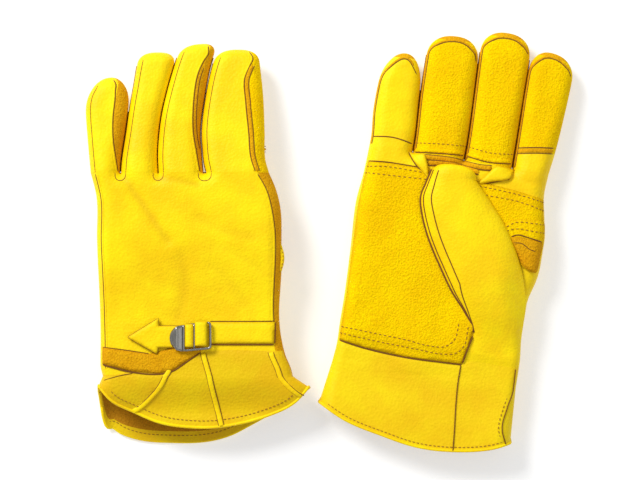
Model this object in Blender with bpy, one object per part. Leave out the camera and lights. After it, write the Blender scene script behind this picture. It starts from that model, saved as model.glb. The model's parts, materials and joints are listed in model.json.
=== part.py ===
"""A pair of leather protector work gloves with a buckled wrist strap.

Each glove is sewn from separate leather panels, so each panel is its own
closed solid. A glove is laid out in its own axes: s across the hand, t along
the hand from the wrist strap to the fingertips, z from the back of the hand
(0) to the palm. place() turns these into the world. The right glove lies on
its back and the left glove is its mirror image, lying on its folded thumb.
"""
import math

import bmesh
import bpy
from mathutils import Vector

MM = 0.001
LEATHER = 1.4          # panel thickness
STRAP = 1.2            # strap and patch thickness
GAP = 0.35             # clearance between neighbouring pieces
FINGER_GAP = 0.5       # clearance on each side of a finger
HAND_H = 21.0          # height of the hand, back to palm
WAIST_BACK = 6.0       # how far the back dips in under the strap
WAIST_PALM = 19.0      # palm height at the wrist
CUFF_H = 23.0          # height of the open cuff mouth
TIP_BACK = 1.5
TIP_PALM = 14.5
THUMB_BASE = HAND_H + GAP + STRAP + 0.6
THUMB_TOP = 33.0
STRAP_TOP_T = 20.0     # the back is flat again beyond this distance from the wrist
CUFF_T = -27.0         # line where the cuff is sewn on
BRIM_DROOP = 10.0      # how far the cuff of the left glove hangs below its thumb
TIP_DROOP = 12.0       # how far its fingertips hang
BRIM_STEP = 7.0        # how much shorter the back of the cuff is than its palm side

YELLOW = (0.93, 0.68, 0.01)
SUEDE = (0.88, 0.56, 0.01)
OCHRE = (0.68, 0.37, 0.02)
NICKEL = (0.22, 0.22, 0.24)
FINGERS = ("pinky", "ring", "middle", "index")

# Where each glove lies: the wrist strap's centre, the lean of the hand, and its outline.
LEFT = {
    "origin": (-88.2, -59.44), "lean": 0.0, "flip": True, "knuckle_t": 103.0, "palm_k": 0.92,
    "hand": ((-27, -57.5, 58), (-14, -58, 56.5), (STRAP_TOP_T, -58.5, 56), (60, -60.5, 57),
             (102.4, -63.5, 50.5)),
    "cuff": ((-59, -40), (-50, -60), (-28, -69), (-9, -71.3), (11, -69.7), (27, -64.5), (52, -50), (72, -36)),
    "pinky": ((103, -64, -45.2), (122, -66, -44.6), (145, -67.5, -42), (165, -60, -41.8)),
    "ring": ((103, -44.2, -21.8), (125, -41.6, -20.7), (145, -39.2, -16.2), (181, -37, -12.2)),
    "middle": ((103, -19.3, 6.8), (122, -17.2, 7), (145, -14.6, 8), (187, -11.2, 14)),
    "index": ((103, 8.5, 49), (122, 9.5, 47.5), (145, 12, 46), (183, 15.5, 44)),
}
RIGHT = {
    "origin": (65.4, -59.44), "lean": math.radians(9.5), "flip": False, "knuckle_t": 113.0, "palm_k": 1.0,
    "hand": ((-27, -59, 59.5), (-14, -58.5, 59.5), (STRAP_TOP_T, -59, 57.5), (70, -62, 62),
             (112.4, -59.5, 58)),
    "cuff": ((-63.5, -54.5), (-36, -66), (-1, -72.5), (32, -70.5), (61.5, -61)),
    "pinky": ((113, -59.5, -31.5), (130, -60, -31.5), (150, -60, -32.5), (175, -55, -37)),
    "ring": ((113, -31.5, 2.5), (130, -31.5, 2), (155, -32, 1.5), (191.5, -30, 0)),
    "middle": ((113, 2.5, 34), (130, 2.2, 33.8), (155, 1.5, 33.5), (199, 3, 32.5)),
    "index": ((113, 34, 58.5), (130, 34, 60.5), (155, 34, 62.2), (191, 36, 61)),
}
# Folded thumb in the right glove: station along the thumb from root to tip, both edges as (s, t).
THUMB = (((28, 7), (47.5, 53)), ((18, 20), (43.5, 63)), ((5, 35), (36, 72)), ((-7, 53), (28, 82)),
         ((-15, 69), (21, 90)), ((-19, 84), (12, 98)), ((-18, 93), (6.5, 102.5)), ((-13, 99.5), (-1, 104.5)))
THUMB_ROOT = ((28.5, 4.5), (49.5, 52.5))


def clear_scene():
    """Removes whatever objects the file opened with."""
    for obj in list(bpy.data.objects):
        bpy.data.objects.remove(obj, do_unlink=True)


def material(name, colour, roughness, metallic=0.0):
    """Makes a Principled material."""
    mat = bpy.data.materials.new(name)
    mat.use_nodes = True
    shader = mat.node_tree.nodes["Principled BSDF"]
    shader.inputs["Base Color"].default_value = (*colour, 1.0)
    shader.inputs["Roughness"].default_value = roughness
    shader.inputs["Metallic"].default_value = metallic
    return mat


def lerp(a, b, k):
    """Straight-line mix of two numbers."""
    return a + (b - a) * k


def table(rows, t):
    """Reads a table of rows (t, value, ...) at t, on straight lines between the rows."""
    for low, high in zip(rows, rows[1:]):
        if t <= high[0]:
            break
    k = (t - low[0]) / (high[0] - low[0])
    return [lerp(a, b, k) for a, b in zip(low[1:], high[1:])]


def back_z(t):
    """Height of the back of the hand, dipping in under the strap."""
    return table(((CUFF_T, WAIST_BACK), (12, WAIST_BACK), (STRAP_TOP_T + 10, 0), (300, 0)), t)[0]


def palm_z(t):
    """Height of the palm side of the hand."""
    return table(((CUFF_T, WAIST_PALM), (-16, WAIST_PALM), (-6, HAND_H), (300, HAND_H)), t)[0]


def place(glove, s, t, z):
    """Turns a point in the glove's own axes, in mm, into the world, in metres."""
    across = (math.cos(glove["lean"]), -math.sin(glove["lean"]))
    along = (math.sin(glove["lean"]), math.cos(glove["lean"]))
    x = glove["origin"][0] + s * across[0] + t * along[0]
    y = glove["origin"][1] + s * across[1] + t * along[1]
    if glove["flip"]:
        knuckle = glove["knuckle_t"]
        drop = BRIM_DROOP * min(1.0, max(0.0, (CUFF_T - t) / 25.0))
        drop += TIP_DROOP * max(0.0, (t - knuckle - 1.0) / 84.0)
        z = THUMB_TOP - z - drop
    return Vector((x, y, z)) * MM


def sheet(glove, name, rows, thickness, finish, holes=()):
    """Makes a closed leather panel from rows of points, thickened to one side.

    rows hold points (s, t, z), and holes the (row, column) cells left out.
    The wall grows towards the side that a positive thickness gives.
    """
    count = len(rows[0])
    points = [[Vector(p) for p in row] for row in rows]
    cells = [(i, j) for i in range(len(rows) - 1) for j in range(count - 1) if (i, j) not in holes]
    inner = [[offset_point(points, i, j, thickness) for j in range(count)] for i in range(len(rows))]
    mesh = bmesh.new()
    outer_verts = {}
    inner_verts = {}
    for i, j in cells:
        for a, b in ((i, j), (i, j + 1), (i + 1, j + 1), (i + 1, j)):
            if (a, b) not in outer_verts:
                outer_verts[a, b] = mesh.verts.new(place(glove, *points[a][b]))
                inner_verts[a, b] = mesh.verts.new(place(glove, *inner[a][b]))
    edges = {}
    for i, j in cells:
        ring = ((i, j), (i, j + 1), (i + 1, j + 1), (i + 1, j))
        mesh.faces.new([outer_verts[key] for key in ring])
        mesh.faces.new([inner_verts[key] for key in reversed(ring)])
        for a, b in zip(ring, ring[1:] + ring[:1]):
            edges[a, b] = True
    for a, b in edges:
        if (b, a) not in edges:
            mesh.faces.new([outer_verts[b], outer_verts[a], inner_verts[a], inner_verts[b]])
    return finish_mesh(mesh, name, finish)


def offset_point(points, i, j, thickness):
    """Moves a grid point along the mitred normal of the strips on both of its sides."""
    row = points[i]
    along = points[min(i + 1, len(points) - 1)][j] - points[max(i - 1, 0)][j]
    normals = []
    for a, b in ((j - 1, j), (j, j + 1)):
        if a >= 0 and b < len(row):
            normals.append((row[b] - row[a]).cross(along).normalized())
    total = sum(normals, Vector()).normalized()
    return row[j] + total * (thickness / max(0.5, total.dot(normals[0])))


def finish_mesh(mesh, name, finish):
    """Turns a bmesh into a named object with outward faces and a material."""
    bmesh.ops.triangulate(mesh, faces=mesh.faces[:])
    bmesh.ops.recalc_face_normals(mesh, faces=mesh.faces[:])
    data = bpy.data.meshes.new(name)
    mesh.to_mesh(data)
    mesh.free()
    data.materials.append(finish)
    obj = bpy.data.objects.new(name, data)
    bpy.context.scene.collection.objects.link(obj)
    return obj


def set_origin(obj, point):
    """Moves an object's origin onto its joint axis, leaving its mesh in place."""
    for vert in obj.data.vertices:
        vert.co = vert.co - point
    obj.location = point


def stations(rows, low, high, extra=()):
    """Sorted t stations from low to high, with the table's own breaks between them."""
    inside = [r[0] for r in rows if low < r[0] < high] + [t for t in extra if low < t < high]
    return sorted({low, high, *inside})


def spread(low, high, count):
    """Evenly spaced numbers from low to high."""
    return [lerp(low, high, i / (count - 1)) for i in range(count)]


def build_hand(glove, side, finish):
    """The back panel, the palm panel that wraps round both edges, and its two patches."""
    hand = glove["hand"]
    breaks = (-16, -6, 12, 30)
    back = []
    palm = []
    levels = stations(hand, CUFF_T + 1.4, glove["knuckle_t"] - 0.6, breaks)
    for t in levels:
        left, right = table(hand, t)
        back.append([(s, t, back_z(t)) for s in spread(left + 2.0, right - 2.0, 4)])
        low, high = back_z(t) + LEATHER + GAP, palm_z(t)
        palm.append([(left + 0.5, t, low), (left, t, lerp(low, high, 0.6)), (left + 6, t, high),
                     (lerp(left, right, 0.5), t, high),
                     (right - 6, t, high), (right, t, lerp(low, high, 0.6)), (right - 0.5, t, low)])
    sheet(glove, f"{side}_back_panel", back, LEATHER, finish["leather"])
    sheet(glove, f"{side}_palm_panel", palm, -LEATHER, finish["leather"])
    patch = []
    k = glove["palm_k"]
    for t in (-6.0, 30.0, 60 * k, 92 * k):
        left, right = table(hand, t)
        patch.append([(left + 7.5, t, HAND_H + GAP), (lerp(26.0, right - 16, min(1.0, t / (90 * k)))
                      if t > 0 else 26.0, t, HAND_H + GAP)])
    sheet(glove, f"{side}_palm_patch", patch, STRAP, finish["suede"])
    saddle = [[(s, t * k, HAND_H + GAP) for s in (49.0 * k + shift, 54.5 * k + shift)]
              for t, shift in ((58, 0.0), (80, 0.0))]
    sheet(glove, f"{side}_saddle_patch", saddle, STRAP, finish["suede"])


def hem_t(glove, s):
    """Where the cuff's hem runs at s."""
    return table(glove["cuff"], max(glove["cuff"][0][0], min(glove["cuff"][-1][0], s)))[0]


def build_cuff(glove, side, finish):
    """Three gores on the back of the cuff and one panel round the palm side."""
    left, right = table(glove["hand"], CUFF_T)
    ends = (glove["cuff"][0][0], glove["cuff"][-1][0])
    cuts = (0.0, 0.3, 0.64, 1.0)
    names = ("cuff_back_outer", "cuff_back_centre", "cuff_back_inner")
    edge = 2.0
    for name, low, high in zip(names, cuts, cuts[1:]):
        rows = []
        for v in (0.0, 0.5, 1.0):
            row = []
            for u in spread(low, high, 4):
                top = lerp(left + edge, right - edge, u)
                brim = lerp(ends[0] + edge, ends[1] - edge, u)
                shift = GAP / 2 * (1 if u == low and low > 0 else -1 if u == high and high < 1 else 0)
                t = lerp(CUFF_T - 0.8, min(hem_t(glove, brim) + BRIM_STEP, CUFF_T - 4.5), v)
                row.append((lerp(top, brim, v) + shift, t, WAIST_BACK * (1 - v * math.sin(math.pi * u) ** 0.5)))
            rows.append(row)
        sheet(glove, f"{side}_{name}", rows, -LEATHER, finish["leather"])
    rows = []
    for v in (0.0, 0.5, 1.0):
        row = []
        base = WAIST_BACK + LEATHER + GAP + 0.3
        for u, lift in ((0.0, 0.0), (-0.004, 0.45), (0.05, 0.85), (0.25, 1.0), (0.5, 1.0), (0.75, 1.0),
                        (0.95, 0.85), (1.004, 0.45), (1.0, 0.0)):
            s = lerp(lerp(left, ends[0], v), lerp(right, ends[1], v), u)
            high = lerp(WAIST_PALM, CUFF_H, v)
            row.append((s, lerp(CUFF_T - 0.8, hem_t(glove, s), v), lerp(base, high, lift)))
        rows.append(row)
    sheet(glove, f"{side}_cuff_palm", rows, LEATHER, finish["leather"])


def block(glove, name, corners, z_low, z_high, finish):
    """A flat plate with the given plan outline between two heights."""
    mesh = bmesh.new()
    low = [mesh.verts.new(place(glove, s, t, z_low)) for s, t in corners]
    high = [mesh.verts.new(place(glove, s, t, z_high)) for s, t in corners]
    mesh.faces.new(low)
    mesh.faces.new(list(reversed(high)))
    for i in range(len(corners)):
        j = (i + 1) % len(corners)
        mesh.faces.new([low[j], low[i], high[i], high[j]])
    return finish_mesh(mesh, name, finish)


def build_strap(glove, side, finish):
    """The wrist strap, its pull tab, the buckle frame with its keeper, and the clamp lever."""
    one = WAIST_BACK - GAP
    two = one - STRAP - GAP
    three = two - STRAP - GAP
    block(glove, f"{side}_wrist_strap", ((14.4, -6), (51, -6), (51, 7.8), (14.4, 7.8)),
          one - STRAP, one, finish["leather"])
    block(glove, f"{side}_buckle_strap", ((-54, -19), (-36, -23), (-20, -24), (-8, -19), (6, -11), (6, -4),
                                         (-14, -9.5), (-27, -12.5), (-54, -9)),
          one - STRAP, one, finish["suede"])
    block(glove, f"{side}_pull_tab", ((-40.4, -2), (-20.5, -13.5), (-21, -8.4), (11.8, -8.0), (11.8, 5.9),
                                     (-21, 5.9), (-20.5, 9.8)), two - STRAP, two, finish["leather"])
    ring_plate(glove, f"{side}_buckle_frame", (-3.4, -12.0, 13.8, 9.7), 1.7, three - 1.5, three, finish["metal"])
    keeper = [[(s, -9.9, two - 0.2), (s, -9.9, three - 1.4), (s, 7.4, three - 1.4), (s, 7.4, two - 0.2)]
              for s in (2.6, 10.6)]
    sheet(glove, f"{side}_strap_keeper", keeper, -0.9, finish["leather"])
    arc = [(-4.4 - 8.8 * math.sin(a), -2.3 - 8.6 * math.cos(a)) for a in spread(0.12, math.pi - 0.12, 8)]
    lever = block(glove, f"{side}_buckle_lever", arc, three - 1.5, three, finish["metal"])
    set_origin(lever, place(glove, -4.4, -2.3, three - 0.75))


def ring_plate(glove, name, box, width, z_low, z_high, finish):
    """A flat rectangular frame with a rectangular opening."""
    s0, t0, s1, t1 = box
    outer = ((s0, t0), (s1, t0), (s1, t1), (s0, t1))
    inner = ((s0 + width, t0 + width), (s1 - width, t0 + width), (s1 - width, t1 - width), (s0 + width, t1 - width))
    mesh = bmesh.new()
    rings = []
    for outline, z in ((outer, z_low), (outer, z_high), (inner, z_high), (inner, z_low)):
        rings.append([mesh.verts.new(place(glove, s, t, z)) for s, t in outline])
    for a, b in zip(rings, rings[1:] + rings[:1]):
        for i in range(4):
            j = (i + 1) % 4
            mesh.faces.new([a[i], a[j], b[j], b[i]])
    return finish_mesh(mesh, name, finish)


def finger_levels(glove, finger):
    """Stations along a finger as (t, left, right, back z, palm z), rounding off at the tip."""
    rows = glove[finger]
    start, end = glove["knuckle_t"], rows[-1][0]
    radius = 9.0
    levels = [r[0] for r in rows[:-1]]
    levels += [end - radius * (1 - math.sin(a)) - 1.5 for a in (0.0, 0.55, 1.05)]
    result = []
    for t in levels:
        left, right = table(rows, t)
        k = (t - start) / (end - start)
        round_off = radius * (1 - math.sqrt(max(0.0, 1 - (max(0.0, t + radius + 1.5 - end) / radius) ** 2)))
        result.append((max(t, start + 0.3), left + FINGER_GAP + round_off * 0.8, right - FINGER_GAP - round_off * 0.8,
                       lerp(0.0, TIP_BACK, k), lerp(HAND_H - 1.0, TIP_PALM, k)))
    return result


def build_finger(glove, side, finger, finish):
    """A finger sleeve: its back, its front and the strips sewn between fingers."""
    levels = finger_levels(glove, finger)
    pivot = place(glove, levels[0][1], glove["knuckle_t"], HAND_H)
    strip_low = finger != "pinky"
    strip_high = finger != "index"
    back = [[(left, t, low), (right, t, low)] for t, left, right, low, high in levels]
    t, left, right, low, high = levels[-1]
    back.append([(left + 1, t + 1.2, low + 1.5), (right - 1, t + 1.2, low + 1.5)])
    back.append([(left + 1.2, t + 1.4, high - 0.5), (right - 1.2, t + 1.4, high - 0.5)])
    pieces = [sheet(glove, f"{side}_{finger}_back", back, LEATHER, finish["leather"])]
    front = []
    for t, left, right, low, high in levels:
        row = [(left, t, high), (right, t, high)]
        if not strip_low:
            row.insert(0, (left, t, low + LEATHER + GAP))
        if not strip_high:
            row.append((right, t, low + LEATHER + GAP))
        front.append(row)
    pieces.append(sheet(glove, f"{side}_{finger}_front", front, -LEATHER, finish["suede"]))
    for wanted, label, column, sign in ((strip_low, "outer", 1, -1), (strip_high, "inner", 2, 1)):
        if wanted:
            rows = [[(row[column], row[0], row[3] + LEATHER + GAP), (row[column], row[0], row[4] - LEATHER - GAP)]
                    for row in levels]
            pieces.append(sheet(glove, f"{side}_{finger}_{label}", rows, sign * LEATHER, finish["ochre"]))
    for piece in pieces:
        set_origin(piece, pivot)


def thumb_point(glove, s, t):
    """Moves a thumb point onto this glove, whose palm may be shorter."""
    return (s * (0.96 if glove["flip"] else 1.0), t * glove["palm_k"])


def build_thumb(glove, side, finish):
    """The folded thumb: a shell over it and a flat panel towards the palm."""
    shell = []
    inner = []
    for i, (one, two) in enumerate(THUMB):
        a = Vector(thumb_point(glove, *one))
        b = Vector(thumb_point(glove, *two))
        k = i / (len(THUMB) - 1)
        top = lerp(THUMB_TOP, THUMB_TOP - 3.5, max(0.0, (k - 0.6) / 0.4))
        side_z = THUMB_BASE
        row = []
        for u, z in ((0.0, side_z), (0.03, lerp(side_z, top, 0.6)), (0.2, top), (0.8, top),
                     (0.97, lerp(side_z, top, 0.6)), (1.0, side_z)):
            point = a.lerp(b, u)
            row.append((point.x, point.y, z))
        shell.append(row)
        inner.append([(*a.lerp(b, u), side_z) for u in (0.2, 0.5, 0.8)])
    pieces = [sheet(glove, f"{side}_thumb_outer", shell, -LEATHER, finish["leather"]),
              sheet(glove, f"{side}_thumb_inner", inner, LEATHER, finish["leather"])]
    pivot = place(glove, *thumb_point(glove, *THUMB_ROOT[0]), HAND_H)
    for piece in pieces:
        set_origin(piece, pivot)


def build_glove(glove, side, finish):
    """All the pieces of one glove."""
    build_hand(glove, side, finish)
    build_cuff(glove, side, finish)
    build_strap(glove, side, finish)
    for finger in FINGERS:
        build_finger(glove, side, finger, finish)
    build_thumb(glove, side, finish)


def main():
    """Builds the pair."""
    clear_scene()
    finish = {
        "leather": material("smooth_leather", YELLOW, 0.5),
        "suede": material("suede_leather", SUEDE, 0.85),
        "ochre": material("ochre_suede", OCHRE, 0.9),
        "metal": material("buckle_metal", NICKEL, 0.3, 1.0),
    }
    build_glove(LEFT, "left", finish)
    build_glove(RIGHT, "right", finish)


main()
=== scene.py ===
"""Finished leatherwork for a pair of buckled work gloves, laid out flat.

Every glove is drawn in its own axes, in millimetres: s across the hand from the
little finger to the index finger, t along the hand from the buckle to the
fingertips, and z from the back of the hand up to the palm.
"""
import json
import logging
import math
from dataclasses import dataclass, field
from enum import Enum
from typing import Callable, Dict, List, Optional, Sequence, Tuple, Union

import bmesh
import bpy
import numpy as np
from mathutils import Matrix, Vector, geometry, noise


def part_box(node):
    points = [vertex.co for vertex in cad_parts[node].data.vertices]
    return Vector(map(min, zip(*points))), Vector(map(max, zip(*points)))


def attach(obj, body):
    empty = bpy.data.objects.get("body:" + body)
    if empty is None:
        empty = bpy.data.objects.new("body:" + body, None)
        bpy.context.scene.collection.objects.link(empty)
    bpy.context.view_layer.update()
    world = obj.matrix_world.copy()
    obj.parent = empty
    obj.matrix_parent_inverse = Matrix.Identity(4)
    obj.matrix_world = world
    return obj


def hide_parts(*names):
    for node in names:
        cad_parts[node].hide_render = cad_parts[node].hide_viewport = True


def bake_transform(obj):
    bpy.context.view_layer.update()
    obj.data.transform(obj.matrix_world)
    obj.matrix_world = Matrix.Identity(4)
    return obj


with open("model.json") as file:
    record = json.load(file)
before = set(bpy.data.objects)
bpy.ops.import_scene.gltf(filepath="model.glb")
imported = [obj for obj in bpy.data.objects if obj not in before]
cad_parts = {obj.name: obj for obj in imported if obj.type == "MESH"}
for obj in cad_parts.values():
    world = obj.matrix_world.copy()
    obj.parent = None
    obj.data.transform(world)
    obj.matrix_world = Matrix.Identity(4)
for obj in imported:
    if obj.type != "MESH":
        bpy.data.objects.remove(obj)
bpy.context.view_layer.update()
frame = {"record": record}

logging.basicConfig(level=logging.INFO, format="%(message)s")
LOG = logging.getLogger("gloves")

MM = 0.001
Pair = Tuple[float, float]
Row = Sequence[float]
Level = Union[float, np.ndarray]
Crown = Callable[[np.ndarray], np.ndarray]

# Spacing, length and width of one stitch, in mm.
HEM_STITCH = (2.7, 1.9, 0.55)
FINE_STITCH = (2.2, 1.3, 0.5)
PALM_STITCH = (3.1, 2.0, 0.6)
ROOT_STITCH = (2.9, 1.9, 0.55)

# Material numbers on a glove's own leather.
GRAIN, SUEDE, FLESH = 0, 1, 2

SLOTS = {
    "grain_cowhide": "smooth_leather",
    "split_suede": "suede_leather",
    "flesh_side": "ochre_suede",
    "sewing_thread": "thread",
    "seam_groove": "thread",
    "dark_nickel": "buckle_metal",
}

# The frame's nodes that one body's pieces of one slot stand for.
NODES = {
    ("hand", "smooth_leather"): ("back_panel", "palm_panel", "cuff_back_outer", "cuff_back_centre",
                                 "cuff_back_inner", "cuff_palm", "wrist_strap", "strap_keeper"),
    ("hand", "suede_leather"): ("palm_patch", "saddle_patch"),
    ("hand", "ochre_suede"): ("buckle_strap",),
    ("hand", "buckle_metal"): ("buckle_frame",),
    ("tab", "smooth_leather"): ("pull_tab",),
    ("lever", "buckle_metal"): ("buckle_lever",),
    ("thumb", "smooth_leather"): ("thumb_outer", "thumb_inner"),
    ("pinky", "smooth_leather"): ("pinky_back", "pinky_front", "pinky_inner"),
    ("ring", "smooth_leather"): ("ring_back", "ring_front", "ring_outer", "ring_inner"),
    ("middle", "smooth_leather"): ("middle_back", "middle_front", "middle_outer", "middle_inner"),
    ("index", "smooth_leather"): ("index_back", "index_front", "index_outer"),
}


def linear(code: str) -> Tuple[float, float, float, float]:
    """Turns an sRGB hex colour into a linear one.

    Args:
        code: six hex digits after a hash.

    Returns:
        Red, green, blue and alpha.
    """
    parts = [int(code[i:i + 2], 16) / 255 for i in (1, 3, 5)]
    return (*[c / 12.92 if c <= 0.04045 else ((c + 0.055) / 1.055) ** 2.4 for c in parts], 1.0)


def add_node(tree: bpy.types.NodeTree, kind: str, links: Optional[Dict] = None,
             values: Optional[Dict] = None, **settings) -> bpy.types.Node:
    """Adds one node.

    Args:
        tree: the node tree.
        kind: the node's type name.
        links: input name or number to the output socket that feeds it.
        values: input name or number to its value.
        settings: attributes of the node itself.

    Returns:
        The new node.
    """
    node = tree.nodes.new(kind)
    for name, value in settings.items():
        setattr(node, name, value)
    for name, value in (values or {}).items():
        node.inputs[name].default_value = value
    for name, socket in (links or {}).items():
        tree.links.new(socket, node.inputs[name])
    return node


class Nap(Enum):
    """Which side of the hide shows."""

    GRAIN = "grain"
    SUEDE = "suede"


@dataclass(frozen=True)
class Leather:
    """Dyed cowhide: the grain side has soft pebbles and a low sheen, the split side a felt-like nap."""

    name: str
    nap: Nap
    colour: str
    shade: str
    light: str
    roughness: float
    pebble_mm: float
    relief_mm: float

    CLOUD_MM = 26
    PORE_SPREAD = 1.6
    # Colour of the painted shade along folds and patch edges, and of the cuffs' darker tone.
    WORN = "#A8680A"

    def build(self) -> bpy.types.Material:
        """Builds the material.

        Returns:
            A material whose vertex attribute mixes in painted shade along folds and patch edges, and the cuffs'
            darker tone.
        """
        mat = bpy.data.materials.new(self.name)
        mat.use_nodes = True
        tree = mat.node_tree
        shader = tree.nodes["Principled BSDF"]
        spot = add_node(tree, "ShaderNodeTexCoord").outputs["Object"]
        mapping = add_node(tree, "ShaderNodeMapping", {"Vector": spot}).outputs[0]
        cloud = add_node(tree, "ShaderNodeTexNoise", {"Vector": mapping},
                         {"Scale": 1 / (self.CLOUD_MM * MM), "Detail": 3.0, "Roughness": 0.55})
        fine = add_node(tree, "ShaderNodeTexNoise", {"Vector": mapping},
                        {"Scale": 1 / (self.pebble_mm * MM), "Detail": 4.0, "Roughness": 0.65})
        tone = add_node(tree, "ShaderNodeValToRGB", {"Fac": cloud.outputs["Fac"]})
        tone.color_ramp.elements[0].position = 0.36
        tone.color_ramp.elements[0].color = linear(self.colour)
        tone.color_ramp.elements[1].position = 0.66
        tone.color_ramp.elements[1].color = linear(self.light)
        speck_span = (0.42, 0.72) if self.nap is Nap.GRAIN else (0.34, 0.6)
        speck = add_node(tree, "ShaderNodeMapRange", {"Value": fine.outputs["Fac"]},
                         {"From Min": speck_span[0], "From Max": speck_span[1], "To Min": 1.0, "To Max": 0.0})
        depth = 0.16 if self.nap is Nap.GRAIN else 0.6
        amount = add_node(tree, "ShaderNodeMath", {0: speck.outputs[0]}, {1: depth}, operation="MULTIPLY")
        dyed = add_node(tree, "ShaderNodeMix", {"Factor": amount.outputs[0], 6: tone.outputs[0]},
                        {7: linear(self.shade)}, data_type="RGBA")
        # Mixes in painted shade along folds and patch edges, and the cuffs' darker tone, as the vertex attribute
        # asks.
        wear = add_node(tree, "ShaderNodeAttribute", attribute_name="wear")
        worn = add_node(tree, "ShaderNodeMix", {"Factor": wear.outputs["Fac"], 6: dyed.outputs[2]},
                        {7: linear(self.WORN)}, data_type="RGBA")
        tree.links.new(worn.outputs[2], shader.inputs["Base Color"])
        rough = add_node(tree, "ShaderNodeMapRange", {"Value": cloud.outputs["Fac"]},
                         {"From Min": 0.3, "From Max": 0.7, "To Min": self.roughness - 0.05,
                          "To Max": self.roughness + 0.07})
        tree.links.new(rough.outputs[0], shader.inputs["Roughness"])
        pores = add_node(tree, "ShaderNodeTexVoronoi", {"Vector": mapping},
                         {"Scale": 1 / (self.pebble_mm * self.PORE_SPREAD * MM)})
        relief = add_node(tree, "ShaderNodeMath", {0: fine.outputs["Fac"], 1: pores.outputs["Distance"]},
                          operation="ADD")
        bump = add_node(tree, "ShaderNodeBump", {"Height": relief.outputs[0]},
                        {"Strength": 0.55 if self.nap is Nap.GRAIN else 0.9, "Distance": self.relief_mm * MM})
        tree.links.new(bump.outputs[0], shader.inputs["Normal"])
        shader.inputs["Specular IOR Level"].default_value = 0.16 if self.nap is Nap.GRAIN else 0.05
        shader.inputs["Sheen Weight"].default_value = 0.0 if self.nap is Nap.GRAIN else 0.12
        shader.inputs["Sheen Tint"].default_value = linear(self.light)
        return mat


@dataclass(frozen=True)
class Plain:
    """Thread, the dark lines of seams and painted shade, or the dark nickel plate of the buckle, with fine
    brushed scratches.
    """

    name: str
    colour: str
    light: str
    roughness: float
    metallic: float
    streak_mm: float

    def build(self) -> bpy.types.Material:
        """Builds the material with streaks of two tones."""
        mat = bpy.data.materials.new(self.name)
        mat.use_nodes = True
        tree = mat.node_tree
        shader = tree.nodes["Principled BSDF"]
        spot = add_node(tree, "ShaderNodeTexCoord").outputs["Object"]
        mapping = add_node(tree, "ShaderNodeMapping", {"Vector": spot}, {"Scale": (1.0, 0.12, 1.0)})
        streaks = add_node(tree, "ShaderNodeTexNoise", {"Vector": mapping.outputs[0]},
                           {"Scale": 1 / (self.streak_mm * MM), "Detail": 3.0})
        mixed = add_node(tree, "ShaderNodeMix", {"Factor": streaks.outputs["Fac"]},
                         {6: linear(self.colour), 7: linear(self.light)}, data_type="RGBA")
        tree.links.new(mixed.outputs[2], shader.inputs["Base Color"])
        rough = add_node(tree, "ShaderNodeMapRange", {"Value": streaks.outputs["Fac"]},
                         {"To Min": self.roughness * 0.75, "To Max": self.roughness * 1.3})
        tree.links.new(rough.outputs[0], shader.inputs["Roughness"])
        bump = add_node(tree, "ShaderNodeBump", {"Height": streaks.outputs["Fac"]},
                        {"Strength": 0.3, "Distance": 0.05 * MM})
        tree.links.new(bump.outputs[0], shader.inputs["Normal"])
        shader.inputs["Metallic"].default_value = self.metallic
        return mat


def read(rows: Sequence[Row], t: np.ndarray) -> np.ndarray:
    """Reads a smooth curve through rows of (t, value) at t.

    Args:
        rows: sorted points of the curve.
        t: where to read it.

    Returns:
        The curve's values, by monotone cubic pieces between the points.
    """
    x = np.array([r[0] for r in rows], float)
    y = np.array([r[1] for r in rows], float)
    t = np.clip(np.asarray(t, float), x[0], x[-1])
    step = np.diff(x)
    slope = np.diff(y) / step
    tangent = np.concatenate([[slope[0]], (slope[1:] + slope[:-1]) / 2, [slope[-1]]])
    for i, one in enumerate(slope):
        if one == 0:
            tangent[i] = tangent[i + 1] = 0.0
    cell = np.clip(np.searchsorted(x, t, side="right") - 1, 0, len(x) - 2)
    h = step[cell]
    k = (t - x[cell]) / h
    return ((1 + 2 * k) * (1 - k) ** 2 * y[cell] + k * (1 - k) ** 2 * h * tangent[cell]
            + k * k * (3 - 2 * k) * y[cell + 1] + k * k * (k - 1) * h * tangent[cell + 1])


def along(points: Sequence[Pair], step: float) -> np.ndarray:
    """Evenly spaced points on a smooth curve through a few points.

    Args:
        points: the curve's own points.
        step: spacing of the result.

    Returns:
        An array of points.
    """
    own = np.array(points, float)
    reach = np.concatenate([[0.0], np.cumsum(np.linalg.norm(np.diff(own, axis=0), axis=1))])
    count = max(3, int(reach[-1] / step) + 1)
    where = np.linspace(0.0, reach[-1], count)
    return np.stack([read(list(zip(reach, own[:, i])), where) for i in range(own.shape[1])], axis=1)


def distance(spots: np.ndarray, lines: Sequence[np.ndarray]) -> np.ndarray:
    """Shortest distance from each spot to a set of open polylines."""
    best = np.full(len(spots), 1e9)
    for line in lines:
        for a, b in zip(line, line[1:]):
            run = b - a
            k = np.clip(((spots - a) @ run) / max(1e-9, run @ run), 0.0, 1.0)
            best = np.minimum(best, np.linalg.norm(spots - a - k[:, None] * run, axis=1))
    return best


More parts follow.
